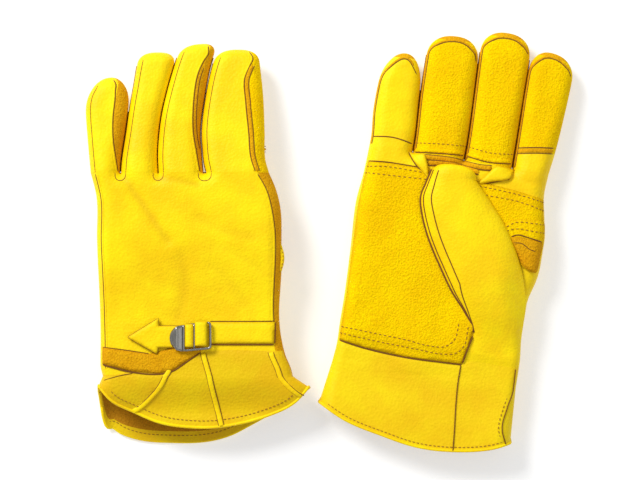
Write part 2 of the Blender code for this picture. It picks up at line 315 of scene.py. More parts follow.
@dataclass
class Finger:
    """One finger's outline: both edges as (t, s) and the round of its tip."""

    name: str
    left: Sequence[Row]
    right: Sequence[Row]
    tip_t: float
    tip_round: float
    tilt: float = 0.0
    square: float = 2.4
    band: Sequence[Row] = ((0.0, 0.9), (1.0, 0.9))
    root_t: float = 100.0

    def band_width(self, t: float) -> float:
        """Width of the side band on the back of the finger at t."""
        return float(read(self.band, np.array((t - self.root_t) / (self.tip_t - self.root_t))))

    def inset_path(self, side_by: float, tip_by: float, right_down: float) -> List[Pair]:
        """A line inside the finger's edge: up the left side, round the tip, and down the right.

        Args:
            side_by: how far inside the left and right sides.
            tip_by: how far inside the tip.
            right_down: how far down the right side it runs from the tip.

        Returns:
            The line's points.
        """
        edge = self.outline(self.root_t + 0.8)
        edge = edge[np.concatenate([[True], np.linalg.norm(np.diff(edge, axis=0), axis=1) > 1e-3])]
        run = np.gradient(edge, axis=0)
        run /= np.maximum(np.linalg.norm(run, axis=1), 1e-6)[:, None]
        inward = np.stack([run[:, 1], -run[:, 0]], axis=1)
        near = smooth((edge[:, 1] - (self.tip_t - self.tip_round * 0.9)) / (self.tip_round * 0.75))
        path = edge + inward * (side_by + (tip_by - side_by) * near)[:, None]
        keep = np.arange(len(path)) < len(path) / 2
        keep |= path[:, 1] > self.tip_t - right_down
        path = path[keep][::3]
        return [tuple(p) for p in path]

    def edges(self, t: np.ndarray) -> Tuple[np.ndarray, np.ndarray]:
        """Both edges at t, drawn in towards each other over the tip.

        Args:
            t: stations along the finger.

        Returns:
            The left and right edges.
        """
        low, high = read(self.left, t), read(self.right, t)
        into = np.clip((t - (self.tip_t - self.tip_round)) / self.tip_round, 0.0, 1.0)
        width = np.maximum(1 - into ** self.square, 0.0) ** (1 / self.square)
        mid = (low + high) / 2
        return mid + (low - mid) * width, mid + (high - mid) * width

    def outline(self, start: float) -> np.ndarray:
        """The finger's edge from its root round the tip and back."""
        t = station_rows(start, self.tip_t, self.tip_round)
        low, high = self.edges(t)
        left = np.stack([low, self.leaned(low, low, high, t)], axis=1)
        right = np.stack([high, self.leaned(high, low, high, t)], axis=1)
        return np.concatenate([left, right[::-1]])

    def leaned(self, s: np.ndarray, low: np.ndarray, high: np.ndarray, t: np.ndarray) -> np.ndarray:
        """Moves rows along t where the tip is cut at a slant."""
        near = np.clip((t - self.tip_t + 40) / 40, 0.0, 1.0) ** 2
        width = np.maximum(read(self.right, t) - read(self.left, t), 1.0)
        return t + self.tilt * near * (s - (low + high) / 2) / width


def station_rows(start: float, end: float, tip_round: float) -> np.ndarray:
    """Rows from a finger's root to its tip, closing up over the round of the tip."""
    body = np.arange(start, end - tip_round, 1.35)
    turn = np.linspace(0.0, math.pi / 2, 15)
    return np.concatenate([body, end - tip_round + tip_round * np.sin(turn)])


@dataclass
class Layout:
    """Where one glove lies and how its leather is cut."""

    FLOOR_GAP = 0.1
    side: str
    flip: bool
    hand_left: Sequence[Row]
    hand_right: Sequence[Row]
    fingers: Sequence[Finger]
    back_hem: Sequence[Row]
    palm_hem: Sequence[Row]
    back_top: Sequence[Row]
    palm_top: Sequence[Row]
    hem_inset: float = 4.2
    # How much darker the cuff's leather is all over, 0 to 1.
    cuff_wear: float = 0.3
    origin: Vector = field(default_factory=Vector)
    lean: float = 0.0
    knuckle: float = 100.0
    height: float = 21.0
    stack: float = 33.0
    tip_droop: float = 12.0
    brim_droop: float = 10.0
    seed: float = 0.0
    palm_scale: float = 1.0
    cuff_height: float = 21.6
    seams: Tuple[Sequence[Row], Sequence[Row]] = ((), ())

    def __post_init__(self) -> None:
        """Reads the glove's place from the frame's joints and nodes."""
        joints = {j["name"]: j for j in frame["record"]["behaviour"]["joints"]}
        lever = joints[f"{self.side}_lever_open"]
        sign = 1.0 if self.flip else -1.0
        self.lean = math.atan2(sign * lever["axis"][0], sign * lever["axis"][1])
        spot = Vector(lever["pos_m"]) / MM
        self.origin = Vector((spot.x, spot.y, 0.0)) - self.turned(-4.4, -2.3)
        bend = Vector(joints[f"{self.side}_middle_bend"]["pos_m"]) / MM - self.origin
        self.knuckle = bend.x * math.sin(self.lean) + bend.y * math.cos(self.lean)
        self.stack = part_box("left_back_panel")[1][2] / MM
        self.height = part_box("right_palm_panel")[1][2] / MM
        for finger in self.fingers:
            finger.root_t = self.knuckle

    def turned(self, s: float, t: float) -> Vector:
        """A step across and along the hand, in the frame's axes."""
        c, n = math.cos(self.lean), math.sin(self.lean)
        return Vector((s * c + t * n, -s * n + t * c, 0.0))

    def place(self, points: np.ndarray) -> np.ndarray:
        """Turns points (s, t, z) into the frame.

        Args:
            points: an array of points in the glove's axes, in mm.

        Returns:
            The same points in metres.
        """
        s, t, z = points[:, 0], points[:, 1], points[:, 2]
        c, n = math.cos(self.lean), math.sin(self.lean)
        if self.flip:
            drop = self.brim_droop * smooth((-27.0 - t) / 25.0)
            drop = drop + self.tip_droop * np.maximum(0.0, (t - self.knuckle - 1.0) / 84.0)
            z = self.stack - z - drop
        z = np.maximum(z, self.FLOOR_GAP)
        return np.stack([self.origin.x + s * c + t * n, self.origin.y - s * n + t * c, z], axis=1) * MM


def smooth(k: np.ndarray) -> np.ndarray:
    """Eases a number from 0 to 1."""
    k = np.clip(k, 0.0, 1.0)
    return k * k * (3 - 2 * k)


class Skin:
    """The pillow-like height of one glove's back and palm over its plan."""

    CUFF_T = -27.0
    WAIST = 6.0
    ROLL = 0.95

    def __init__(self, layout: Layout) -> None:
        """Prepares the outline that the leather rolls down to."""
        self.layout = layout
        low = np.arange(self.CUFF_T, layout.knuckle + 0.1, 2.0)
        self.outer = [np.stack([read(layout.hand_left, low), low], axis=1),
                      np.stack([read(layout.hand_right, low), low], axis=1)]
        self.tips = {f.name: f.outline(layout.knuckle) for f in layout.fingers}
        self.folds: List[Tuple[np.ndarray, float, float]] = []

    def depth(self, spots: np.ndarray, finger: Optional[str]) -> np.ndarray:
        """How far spots lie inside the outline.

        Args:
            spots: points (s, t).
            finger: the finger that they are on, or None on the hand.

        Returns:
            Distances in mm.
        """
        roots = [tip[:14] for tip in self.tips.values()] + [tip[-14:] for tip in self.tips.values()]
        if finger:
            return distance(spots, [self.tips[finger]] + [line[-14:] for line in self.outer])
        return distance(spots, self.outer + roots)

    def levels(self, t: np.ndarray) -> Tuple[np.ndarray, np.ndarray]:
        """Flat heights of back and palm at t, before the edges roll over."""
        k = np.clip((t - self.layout.knuckle) / 84.0, 0.0, 1.0)
        dip = self.WAIST * (1 - smooth((t - 8.0) / 60.0))
        back = dip + 1.5 * k
        top = self.layout.height - 2.0 * (1 - smooth((t + 16.0) / 10.0)) - 6.0 * k
        return back, top

    def wrinkle(self, spots: np.ndarray) -> np.ndarray:
        """Soft dents and bulges of worn leather, with the glove's own folds."""
        seed = self.layout.seed
        soft = np.array([noise.noise(Vector((s / 27, t / 34, seed))) * 0.9
                         + noise.noise(Vector((s / 11, t / 15, seed + 7))) * 0.3
                         + noise.noise(Vector((s / 4.2, t / 6.5, seed + 9))) * 0.07 for s, t in spots])
        for line, width, sink in self.folds:
            soft = soft - sink * np.exp(-(distance(spots, [line]) / width) ** 2)
        return soft

    def heights(self, spots: np.ndarray, finger: Optional[str]) -> Tuple[np.ndarray, np.ndarray, np.ndarray]:
        """Back and palm heights.

        Args:
            spots: points (s, t).
            finger: the finger that they are on, or None on the hand.

        Returns:
            The back's z, the palm's z, and the depth inside the outline.
        """
        deep = self.depth(spots, finger)
        back, top = self.levels(spots[:, 1])
        mid = (back + top) / 2
        roll = (top - back) / 2
        round_off = np.sqrt(np.maximum(0.0, 1 - (1 - np.clip(deep / (roll * self.ROLL), 0.0, 1.0)) ** 2))
        dent = self.wrinkle(spots) * np.clip(deep / 6.0, 0.0, 1.0)
        return mid - (mid - back) * round_off - dent * 0.5, mid + (top - mid) * round_off + dent, deep


def make_piece(name: str, points: np.ndarray, faces: Sequence[Sequence[int]], finishes: Sequence,
               slots: Optional[Sequence[int]] = None, wear: Optional[np.ndarray] = None,
               merge_mm: float = 0.0) -> bpy.types.Object:
    """Makes an object from points in metres.

    Args:
        name: the piece's name.
        points: its vertices.
        faces: its faces, as rows of vertex numbers.
        finishes: its materials.
        slots: the material number of each face.
        wear: how dark each vertex is, 0 to 1.
        merge_mm: merges points this close, where a row closes to a point.

    Returns:
        The new object, with its faces outward.
    """
    mesh = bpy.data.meshes.new(name)
    mesh.from_pydata([tuple(p) for p in points], [], [tuple(f) for f in faces])
    for finish in finishes:
        mesh.materials.append(finish)
    if slots is not None:
        mesh.polygons.foreach_set("material_index", list(slots))
    layer = mesh.attributes.new("wear", "FLOAT", "POINT")
    layer.data.foreach_set("value", list(wear) if wear is not None else [0.0] * len(points))
    work = bmesh.new()
    work.from_mesh(mesh)
    if merge_mm:
        bmesh.ops.remove_doubles(work, verts=work.verts[:], dist=merge_mm * MM)
        bmesh.ops.dissolve_degenerate(work, edges=work.edges[:], dist=1e-6)
    bmesh.ops.recalc_face_normals(work, faces=work.faces[:])
    for face in work.faces:
        face.smooth = True
    work.to_mesh(mesh)
    work.free()
    obj = bpy.data.objects.new(name, mesh)
    bpy.context.scene.collection.objects.link(obj)
    return obj


def thicken(obj: bpy.types.Object, wall_mm: float, rim_slot: int = 0, inner_slot: int = 0) -> None:
    """Gives an open shell a wall on its inner side and keeps it as plain mesh.

    Args:
        obj: the shell.
        wall_mm: the leather's thickness.
        rim_slot: how many slots further on the rim's material is.
        inner_slot: how many slots further on the lining side's material is.
    """
    wall = obj.modifiers.new("wall", "SOLIDIFY")
    wall.thickness = wall_mm * MM
    wall.offset = -1.0
    wall.material_offset = inner_slot
    wall.material_offset_rim = rim_slot
    apply_modifiers(obj)
    obj.data.set_sharp_from_angle(angle=math.radians(58))


def apply_modifiers(obj: bpy.types.Object) -> None:
    """Replaces an object's mesh by its evaluated mesh and drops the modifiers."""
    graph = bpy.context.evaluated_depsgraph_get()
    mesh = bpy.data.meshes.new_from_object(obj.evaluated_get(graph))
    old = obj.data
    obj.modifiers.clear()
    obj.data = mesh
    mesh.name = obj.name
    bpy.data.meshes.remove(old)


def join(name: str, pieces: Sequence[bpy.types.Object]) -> bpy.types.Object:
    """Joins pieces that ride together into one object."""
    with bpy.context.temp_override(active_object=pieces[0], selected_editable_objects=list(pieces)):
        bpy.ops.object.join()
    pieces[0].name = name
    pieces[0].data.name = name
    return pieces[0]


def loft(rows: int, ring: int, closed_ring: bool = True, caps: bool = False) -> List[Tuple[int, ...]]:
    """Faces of a grid of rows of points, closed round each row.

    Args:
        rows: number of rows.
        ring: points in a row.
        closed_ring: whether the last point of a row joins the first.
        caps: whether both ends are closed.

    Returns:
        The faces.
    """
    faces: List[Tuple[int, ...]] = []
    for i in range(rows - 1):
        for j in range(ring if closed_ring else ring - 1):
            k = (j + 1) % ring
            faces.append((i * ring + j, i * ring + k, (i + 1) * ring + k, (i + 1) * ring + j))
    if caps:
        faces.append(tuple(range(ring)))
        faces.append(tuple(reversed(range((rows - 1) * ring, rows * ring))))
    return faces


class StitchTree:
    """A Geometry Nodes tree that lays thread stitches along a line."""

    def __init__(self) -> None:
        """Builds the tree with named inputs for its sizes."""
        tree = bpy.data.node_groups.new("stitches", "GeometryNodeTree")
        self.tree = tree
        for name, kind, way in (("Line", "NodeSocketGeometry", "INPUT"), ("Pitch", "NodeSocketFloat", "INPUT"),
                                ("Stitch length", "NodeSocketFloat", "INPUT"),
                                ("Thread width", "NodeSocketFloat", "INPUT"),
                                ("Thread", "NodeSocketMaterial", "INPUT"),
                                ("Stitches", "NodeSocketGeometry", "OUTPUT")):
            tree.interface.new_socket(name, in_out=way, socket_type=kind)
        start = add_node(tree, "NodeGroupInput").outputs
        curve = add_node(tree, "GeometryNodeMeshToCurve", {"Mesh": start["Line"]})
        spots = add_node(tree, "GeometryNodeCurveToPoints", {0: curve.outputs[0], "Length": start["Pitch"]},
                         mode="LENGTH")
        bead = add_node(tree, "GeometryNodeMeshUVSphere", values={"Segments": 6, "Rings": 5, "Radius": 0.5})
        size = add_node(tree, "ShaderNodeCombineXYZ", {"X": start["Thread width"], "Y": start["Thread width"],
                                                       "Z": start["Stitch length"]})
        laid = add_node(tree, "GeometryNodeInstanceOnPoints",
                        {"Points": spots.outputs["Points"], "Instance": bead.outputs["Mesh"],
                         "Rotation": spots.outputs["Rotation"], "Scale": size.outputs[0]})
        real = add_node(tree, "GeometryNodeRealizeInstances", {0: laid.outputs[0]})
        round_off = add_node(tree, "GeometryNodeSetShadeSmooth", {0: real.outputs[0]})
        dressed = add_node(tree, "GeometryNodeSetMaterial",
                           {"Geometry": round_off.outputs[0], "Material": start["Thread"]})
        add_node(tree, "NodeGroupOutput", {0: dressed.outputs[0]})
        self.keys = {item.name: item.identifier for item in tree.interface.items_tree if item.in_out == "INPUT"}

    def sew(self, name: str, lines: Sequence[np.ndarray], thread: bpy.types.Material, pitch: float,
            length: float, width: float) -> bpy.types.Object:
        """Sews rows of stitches.

        Args:
            name: the piece's name.
            lines: rows of points in metres.
            thread: the thread's material.
            pitch: spacing of the stitches in mm.
            length: length of one stitch in mm.
            width: thread width in mm.

        Returns:
            One mesh with all the stitches.
        """
        mesh = bpy.data.meshes.new(name)
        points: List[Tuple[float, ...]] = []
        edges: List[Pair] = []
        for line in lines:
            first = len(points)
            points += [tuple(p) for p in line]
            edges += [(first + i, first + i + 1) for i in range(len(line) - 1)]
        mesh.from_pydata(points, edges, [])
        obj = bpy.data.objects.new(name, mesh)
        bpy.context.scene.collection.objects.link(obj)
        row = obj.modifiers.new("stitches", "NODES")
        row.node_group = self.tree
        row[self.keys["Pitch"]] = pitch * MM
        row[self.keys["Stitch length"]] = length * MM
        row[self.keys["Thread width"]] = width * MM
        row[self.keys["Thread"]] = thread
        apply_modifiers(obj)
        obj.data.materials.clear()
        obj.data.materials.append(thread)
        obj.data.polygons.foreach_set("material_index", [0] * len(obj.data.polygons))
        return obj


@dataclass
class Workshop:
    """The finishes and tools that every part of a glove is made with."""

    grain: bpy.types.Material
    suede: bpy.types.Material
    flesh: bpy.types.Material
    lining: bpy.types.Material
    thread: bpy.types.Material
    groove: bpy.types.Material
    metal: bpy.types.Material
    stitches: StitchTree


class Side(Enum):
    """The two faces of a glove."""

    BACK = 0
    PALM = 1


class Drape:
    """Lays lines and patches of leather over one face of a glove's skin."""

    def __init__(self, skin: Skin, side: Side, finger: Optional[str] = None) -> None:
        """Remembers the surface.

        Args:
            skin: the glove's skin.
            side: the face to lay things on.
            finger: the finger they lie on, or None for the hand.
        """
        self.skin = skin
        self.side = side
        self.finger = finger

    def lift(self, spots: np.ndarray, height: Level) -> np.ndarray:
        """Points a little above the surface, in metres.

        Args:
            spots: points (s, t).
            height: how far above, in mm, for all spots or for each.

        Returns:
            Points in the frame.
        """
        out = 1.0 if self.side is Side.PALM else -1.0
        z = self.skin.heights(spots, self.finger)[self.side.value]
        return self.skin.layout.place(np.column_stack([spots, z + out * np.asarray(height)]))

    def line(self, points: Sequence[Pair], height: float, step: float = 1.2) -> np.ndarray:
        """A smooth line over the surface, in metres."""
        return self.lift(along(points, step), height)

    def bead(self, name: str, points: Sequence[Pair], half_width: float, high: float,
             finish: bpy.types.Material, step: float = 1.2, base: float = 0.0) -> bpy.types.Object:
        """A raised or dark line: a flattened round cord half sunk in the leather.

        Args:
            name: the piece's name.
            points: its path over the skin.
            half_width: half its width in mm.
            high: how far it stands proud, in mm.
            finish: its material.
            step: spacing of its rings.
            base: height of its middle over the skin.

        Returns:
            The piece.
        """
        path = along(points, step)
        run = np.gradient(path, axis=0)
        run /= np.maximum(np.linalg.norm(run, axis=1), 1e-6)[:, None]
        across = np.stack([run[:, 1], -run[:, 0]], axis=1)
        taper = np.ones(len(path))
        taper[0] = taper[-1] = 0.25
        sides = 8
        rings = []
        for k in range(sides):
            turn = 2 * math.pi * (k + 0.5) / sides
            shifted = path + across * (half_width * math.cos(turn) * taper)[:, None]
            rings.append(self.lift(shifted, base + high * math.sin(turn) * taper))
        points3 = np.stack(rings, axis=1).reshape(-1, 3)
        return make_piece(name, points3, loft(len(path), sides, caps=True), [finish])

    def patch(self, name: str, outline: Sequence[Pair], low: float, high: float,
              finish: bpy.types.Material, step: float = 1.6, crown: Optional[Crown] = None,
              curved: bool = True) -> bpy.types.Object:
        """A flat piece of leather laid over the skin, with softly rounded edges.

        Args:
            name: the piece's name.
            outline: its edge, anticlockwise.
            low: height of its underside over the skin.
            high: height of its top over the skin.
            finish: its material.
            step: size of its mesh.
            crown: extra height at each spot.
            curved: whether the outline is drawn as a smooth curve.

        Returns:
            The piece.
        """
        corners = list(outline) + [outline[0]]
        if curved:
            edge = along(corners, step)[:-1]
        else:
            edge = np.concatenate([np.linspace(a, b, max(2, int(math.dist(a, b) / step)), endpoint=False)
                                   for a, b in zip(corners, corners[1:])])
        closed = np.concatenate([edge, edge[:1]])
        low_s, low_t = edge.min(axis=0)
        high_s, high_t = edge.max(axis=0)
        grid = np.array([(s, t) for s in np.arange(low_s, high_s, step)
                         for t in np.arange(low_t, high_t, step)])
        inside = np.array([inside_of(spot, edge) for spot in grid], bool) if len(grid) else np.zeros(0, bool)
        grid = grid[inside]
        if len(grid):
            grid = grid[distance(grid, [closed]) > step * 0.75]
        spots = np.concatenate([edge, grid]) if len(grid) else edge
        loop = [(i, (i + 1) % len(edge)) for i in range(len(edge))]
        found = geometry.delaunay_2d_cdt([Vector(p) for p in spots], loop, [], 1, 1e-4)
        spots = np.array([tuple(p) for p in found[0]])
        faces = [tuple(f) for f in found[2]]
        deep = distance(spots, [closed])
        rise = low + (high - low) * (0.45 + 0.55 * smooth(deep / 1.6))
        if crown:
            rise = rise + crown(spots)
        top = self.lift(spots, rise)
        bottom = self.lift(spots, low)
        count = len(spots)
        edges = {edge: True for face in faces for edge in zip(face, face[1:] + face[:1])}
        walls = [(b, a, a + count, b + count) for a, b in edges if (b, a) not in edges]
        both = faces + [tuple(i + count for i in reversed(f)) for f in faces] + walls
        # Painted shade darkens the top along the patch's edge, and the underside all over.
        wear = np.concatenate([0.35 * (1 - smooth(deep / 1.2)), np.full(count, 0.5)])
        return make_piece(name, np.concatenate([top, bottom]), both, [finish], wear=wear)


def inside_of(spot: np.ndarray, edge: np.ndarray) -> bool:
    """Whether a spot is inside a closed outline."""
    x, y = spot
    x0, y0 = edge[:, 0], edge[:, 1]
    x1, y1 = np.roll(x0, -1), np.roll(y0, -1)
    cross = (y0 > y) != (y1 > y)
    with np.errstate(divide="ignore", invalid="ignore"):
        at = x0 + (y - y0) * (x1 - x0) / (y1 - y0)
    return bool(np.count_nonzero(cross & (x < at)) % 2)


class Glove:
    """One glove's sewn leather, from cuff to fingertips."""

    COLUMNS = 27
    SPLIT = 17
    HAND_STEP = 1.35

    def __init__(self, layout: Layout, shop: Workshop) -> None:
        """Prepares the skin of one glove."""
        self.layout = layout
        self.shop = shop
        self.skin = Skin(layout)
        self.loose: Dict[Tuple[str, str], List[bpy.types.Object]] = {}
        self.blends: Dict[str, Tuple[Tuple[float, ...], Tuple[float, ...]]] = {}

    def add(self, owner: str, *pieces: bpy.types.Object) -> None:
        """Collects pieces that belong to one body, sorted by their finish."""
        for piece in pieces:
            finish = piece.data.materials[0].name
            self.loose.setdefault((owner, SLOTS[finish]), []).append(piece)

    def spread(self, finger: Finger, t: float) -> np.ndarray:
        """Column places across one finger at t, with one column on the edge of its side band."""
        low, high = read(finger.left, np.array(t)), read(finger.right, np.array(t))
        share = float(np.clip(1 - finger.band_width(t) / max(high - low, 1.0), 0.3, 0.96))
        first = 1 - np.cos(np.linspace(0, math.pi / 2, self.SPLIT + 1) * 0.94)
        first = share * first / first[-1]
        rest = np.sin(np.linspace(0, math.pi / 2, self.COLUMNS - self.SPLIT))
        return np.concatenate([first, share + (1 - share) * rest[1:]])

    def ring(self, spots: np.ndarray, finger: Optional[str]) -> Tuple[np.ndarray, np.ndarray]:
        """Points round the glove over a row grid.

        Args:
            spots: a rows x columns x 2 array of (s, t).
            finger: the finger, or None.

        Returns:
            A rows x ring x 3 array in the glove's axes, and the painted shade of the folds at each.
        """
        rows, columns = spots.shape[:2]
        flat = spots.reshape(-1, 2)
        back, palm, deep = self.skin.heights(flat, finger)
        back = np.column_stack([flat, back]).reshape(rows, columns, 3)
        palm = np.column_stack([flat, palm]).reshape(rows, columns, 3)
        wear = self.worn(flat, deep).reshape(rows, columns)
        points = np.concatenate([back, palm[:, -2:0:-1]], axis=1)
        return points, np.concatenate([wear, wear[:, -2:0:-1]], axis=1)

    def worn(self, spots: np.ndarray, deep: np.ndarray) -> np.ndarray:
        """How much painted shade darkens the leather along the folds at each spot."""
        wear = np.zeros(len(spots))
        for line, width, sink in self.skin.folds:
            wear = wear + 0.13 * min(1.8, sink) * np.exp(-(distance(spots, [line]) / (width * 0.6)) ** 2)
        return np.clip(wear, 0.0, 1.0)

    def build_hand(self, slot_of: Callable) -> None:
        """The hand's leather from the cuff seam to the knuckles."""
        lay = self.layout
        t = np.concatenate([np.arange(Skin.CUFF_T, lay.knuckle - 0.6, self.HAND_STEP), [lay.knuckle]])
        low, high = read(lay.hand_left, t), read(lay.hand_right, t)
        knuckle = []
        for f in lay.fingers:
            a, b = f.edges(np.array([lay.knuckle]))
            knuckle.append(a[0] + (b[0] - a[0]) * self.spread(f, lay.knuckle))
        knuckle = np.concatenate(knuckle)
        knuckle[0], knuckle[-1] = low[-1], high[-1]
        own = (knuckle - low[-1]) / (high[-1] - low[-1])
        even = np.sin(np.linspace(-math.pi / 2, math.pi / 2, len(own))) * 0.5 + 0.5
        even = 0.35 * even + 0.65 * np.linspace(0, 1, len(own))
        mix = smooth((lay.knuckle - t) / 45.0)[:, None]
        u = own[None, :] * (1 - mix) + even[None, :] * mix
        s = low[:, None] + (high - low)[:, None] * u
        spots = np.stack([s, np.repeat(t[:, None], len(own), axis=1)], axis=2)
        points, wear = self.ring(spots, None)
        rows, ring = points.shape[:2]
        faces = loft(rows, ring)
        flat = points.reshape(-1, 3)
        slots = []
        for face in faces:
            where = flat[list(face)].mean(axis=0)
            column = (face[0] % ring)
            slots.append(slot_of(where[0], where[1], Side.BACK if column < len(own) - 1 else Side.PALM))
        hand = make_piece(f"{lay.side}_hand_leather", lay.place(flat), faces,
                          [self.shop.grain, self.shop.suede, self.shop.flesh, self.shop.lining],
                          slots, wear.reshape(-1), merge_mm=0.02)
        thicken(hand, 1.1)
        self.add("hand", hand)

    def build_finger(self, finger: Finger, slot_of: Callable) -> None:
        """One finger's leather, from the knuckle round the tip.

        Args:
            finger: its outline.
            slot_of: picks a material number from (in the side band, t, side).
        """
        lay = self.layout
        t = station_rows(lay.knuckle, finger.tip_t, finger.tip_round)
        low, high = finger.edges(t)
        u = np.array([self.spread(finger, row) for row in t])
        s = low[:, None] + (high - low)[:, None] * u
        tt = np.stack([finger.leaned(s[:, j], low, high, t) for j in range(self.COLUMNS)], axis=1)
        tt[0] = lay.knuckle
        spots = np.stack([s, tt], axis=2)
        points, wear = self.ring(spots, finger.name)
        rows, ring = points.shape[:2]
        faces = loft(rows, ring)
        slots = []
        for face in faces:
            row, column = divmod(face[0], ring)
            back = column < self.COLUMNS - 1
            slots.append(slot_of(finger, column >= self.SPLIT, t[row], Side.BACK if back else Side.PALM))
        piece = make_piece(f"{lay.side}_{finger.name}_leather", lay.place(points.reshape(-1, 3)), faces,
                           [self.shop.grain, self.shop.suede, self.shop.flesh, self.shop.lining],
                           slots, wear.reshape(-1), merge_mm=0.03)
        thicken(piece, 1.0)
        self.add(finger.name, piece)

    def inset(self, finger: Finger, left: bool, by: float, start: float, end: float) -> List[Pair]:
        """A line inside one edge of a finger."""
        t = np.linspace(start, end, 9)
        low, high = finger.edges(t)
        s = low + by if left else high - by
        return list(zip(s.tolist(), t.tolist()))

    def finish(self, nodes: Dict[Tuple[str, str], Sequence[str]]) -> None:
        """Joins what rides together, and hands every piece that is not blended to its body; a blended piece only
        has its place baked in.

        Args:
            nodes: the frame's nodes that each body's pieces of one slot stand for.
        """
        lay = self.layout
        for (owner, slot), pieces in self.loose.items():
            short = slot.replace("_leather", "")
            piece = join(f"{lay.side}_{owner}_{short}", pieces)
            if owner in self.blends:
                start, end = self.blends[owner]
                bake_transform(piece)
                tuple(start)
                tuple(end)
            else:
                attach(piece, f"{lay.side}_{owner}")
            stands_for = nodes.get((owner, slot), ())
            if stands_for:
                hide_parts(*[f"{lay.side}_{n}" for n in stands_for])
            LOG.info("%s: %d faces", piece.name, len(piece.data.polygons))

    def joint_spot(self, s: float, t: float, z: float) -> Tuple[float, float, float]:
        """A point of the glove's axes in the frame, as a plain tuple."""
        return tuple(self.layout.place(np.array([[s, t, z]], float))[0].tolist())


class Cuff:
    """The open cuff: a back that laps over a longer palm side, both with a turned hem."""

    COLUMNS = 61
    HEAD_ROWS = 9
    ROWS = 26
    TURNED_ROWS = 4
    GUSSET_COLUMNS = 4
    HEM_RADIUS = 1.0
    HEM_TRIM = 3
    STITCH_TRIM = 8
    STITCH_LEVELS = (0.25, -1.45)
    WELT_HALF_WIDTH = 1.7
    TURNED_SLOT = 2

    def __init__(self, glove: Glove) -> None:
        """Remembers the glove that the cuff is sewn to."""
        self.glove = glove
        self.lay = glove.layout

    def spots(self, hem: Sequence[Row], top: Sequence[Row], side: Side) -> np.ndarray:
        """Rows of points (s, t, z) from the cuff seam to the hem.

        Args:
            hem: the hem's line, as (s, t).
            top: the line where the cuff is sewn on, as (s, t).
            side: which side of the glove.

        Returns:
            A rows x columns x 3 array.
        """
        lay, skin = self.lay, self.glove.skin
        out = 1.0 if side is Side.PALM else -1.0
        u = self.columns()
        start = Skin.CUFF_T
        left, right = read(lay.hand_left, np.array(start)), read(lay.hand_right, np.array(start))
        flare_s = left + (right - left) * u
        end_s = hem[0][0] + (hem[-1][0] - hem[0][0]) * u
        end_t = read(hem, end_s)
        result = []
        head_t = read(top, flare_s)
        for v in np.linspace(0.0, 1.0, self.HEAD_ROWS, endpoint=False):
            t = head_t + (start - head_t) * v
            low, high = read(lay.hand_left, t), read(lay.hand_right, t)
            edge = 0.9 * (1 - v) + 0.02
            s = low + edge + (high - low - 2 * edge) * u
            z = skin.heights(np.column_stack([s, t]), None)[side.value]
            result.append(np.column_stack([s, t, z + out * (1.0 * smooth(v / 0.35) - 0.5)]))
        back, palm = skin.levels(np.array([start]))
        for v in np.linspace(0.0, 1.0, self.ROWS):
            s = flare_s + (end_s - flare_s) * v
            t = start + (end_t - start) * v
            low = back[0] - (back[0] - 2.2) * smooth(v)
            high = palm[0] + (lay.cuff_height - palm[0]) * smooth(v)
            mid, half = (low + high) / 2, (high - low) / 2
            edge = np.minimum(u, 1 - u) * (right - left)
            round_off = np.sqrt(np.maximum(0.0, 1 - (1 - np.clip(edge / (half * Skin.ROLL), 0, 1)) ** 2))
            ripple = np.array([noise.noise(Vector((a / 22, b / 26, lay.seed + 3 + side.value)))
                               for a, b in zip(s, t)])
            swell = half * round_off + 0.5 + ripple * 0.9 * np.clip(edge / 8, 0, 1) * v
            z = mid + out * swell
            result.append(np.column_stack([s, t, z]))
        return np.array(result)

    def columns(self) -> np.ndarray:
        """Column places across the cuff, closer together at its edges."""
        return 0.5 + 0.5 * np.sin(np.linspace(-math.pi / 2, math.pi / 2, self.COLUMNS)) * 0.999

    def build(self) -> None:
        """Builds both sides, their hems and the seams between the gores."""
        shop, lay = self.glove.shop, self.lay
        grids = []
        for side, hem, top, label in ((Side.BACK, lay.back_hem, lay.back_top, "back"),
                                      (Side.PALM, lay.palm_hem, lay.palm_top, "palm")):
            grid = self.spots(hem, top, side)
            grids.append(grid)
            rows, columns = grid.shape[:2]
            flat = grid.reshape(-1, 3)
            faces = loft(rows, columns, closed_ring=False)
            if (side is Side.PALM) != lay.flip:
                faces = [tuple(reversed(f)) for f in faces]
            first_turned = (rows - 1 - self.TURNED_ROWS) * (columns - 1)
            slots = [self.TURNED_SLOT if i >= first_turned else GRAIN for i in range(len(faces))]
            piece = make_sheet(f"{lay.side}_cuff_{label}", lay.place(flat), faces,
                               [shop.grain, shop.lining, shop.grain, shop.grain], 1.3, slots, lay.cuff_wear)
            self.glove.add("hand", piece)
            out = -1.0 if side is Side.BACK else 1.0
            edge = grid[-1] - np.array([0.0, 0.0, 0.3 * out])
            run = np.gradient(edge[:, :2], axis=0)
            run /= np.maximum(np.linalg.norm(run, axis=1), 1e-6)[:, None]
            inward = np.stack([-run[:, 1], run[:, 0]], axis=1)
            roll = lay.place(edge[self.HEM_TRIM:-self.HEM_TRIM])
            self.glove.add("hand", tube(f"{lay.side}_{label}_hem_roll", roll, self.HEM_RADIUS, shop.grain))
            slope = grid[-5] - grid[-1]
            fall = slope[:, 2] / np.maximum(np.linalg.norm(slope[:, :2], axis=1), 1e-6)
            lines = []
            for level in self.STITCH_LEVELS:
                inner = grid[-1] * 1.0
                inner[:, :2] += inward * lay.hem_inset
                inner[:, 2] += fall * lay.hem_inset + level * out
                lines.append(lay.place(inner[self.STITCH_TRIM:-self.STITCH_TRIM]))
            self.glove.add("hand", shop.stitches.sew(f"{lay.side}_{label}_hem_stitches", lines, shop.thread,
                                                     *HEM_STITCH))
            for shares in lay.seams[side.value]:
                name = f"{lay.side}_{label}_seam_{int(shares[-1] * 1000)}"
                if side is Side.BACK:
                    self.seam(self.down(grid, shares), out, name)
                else:
                    self.lapped_seam(self.down(grid, shares), out, name, stitched=shares[0] > 0.9)

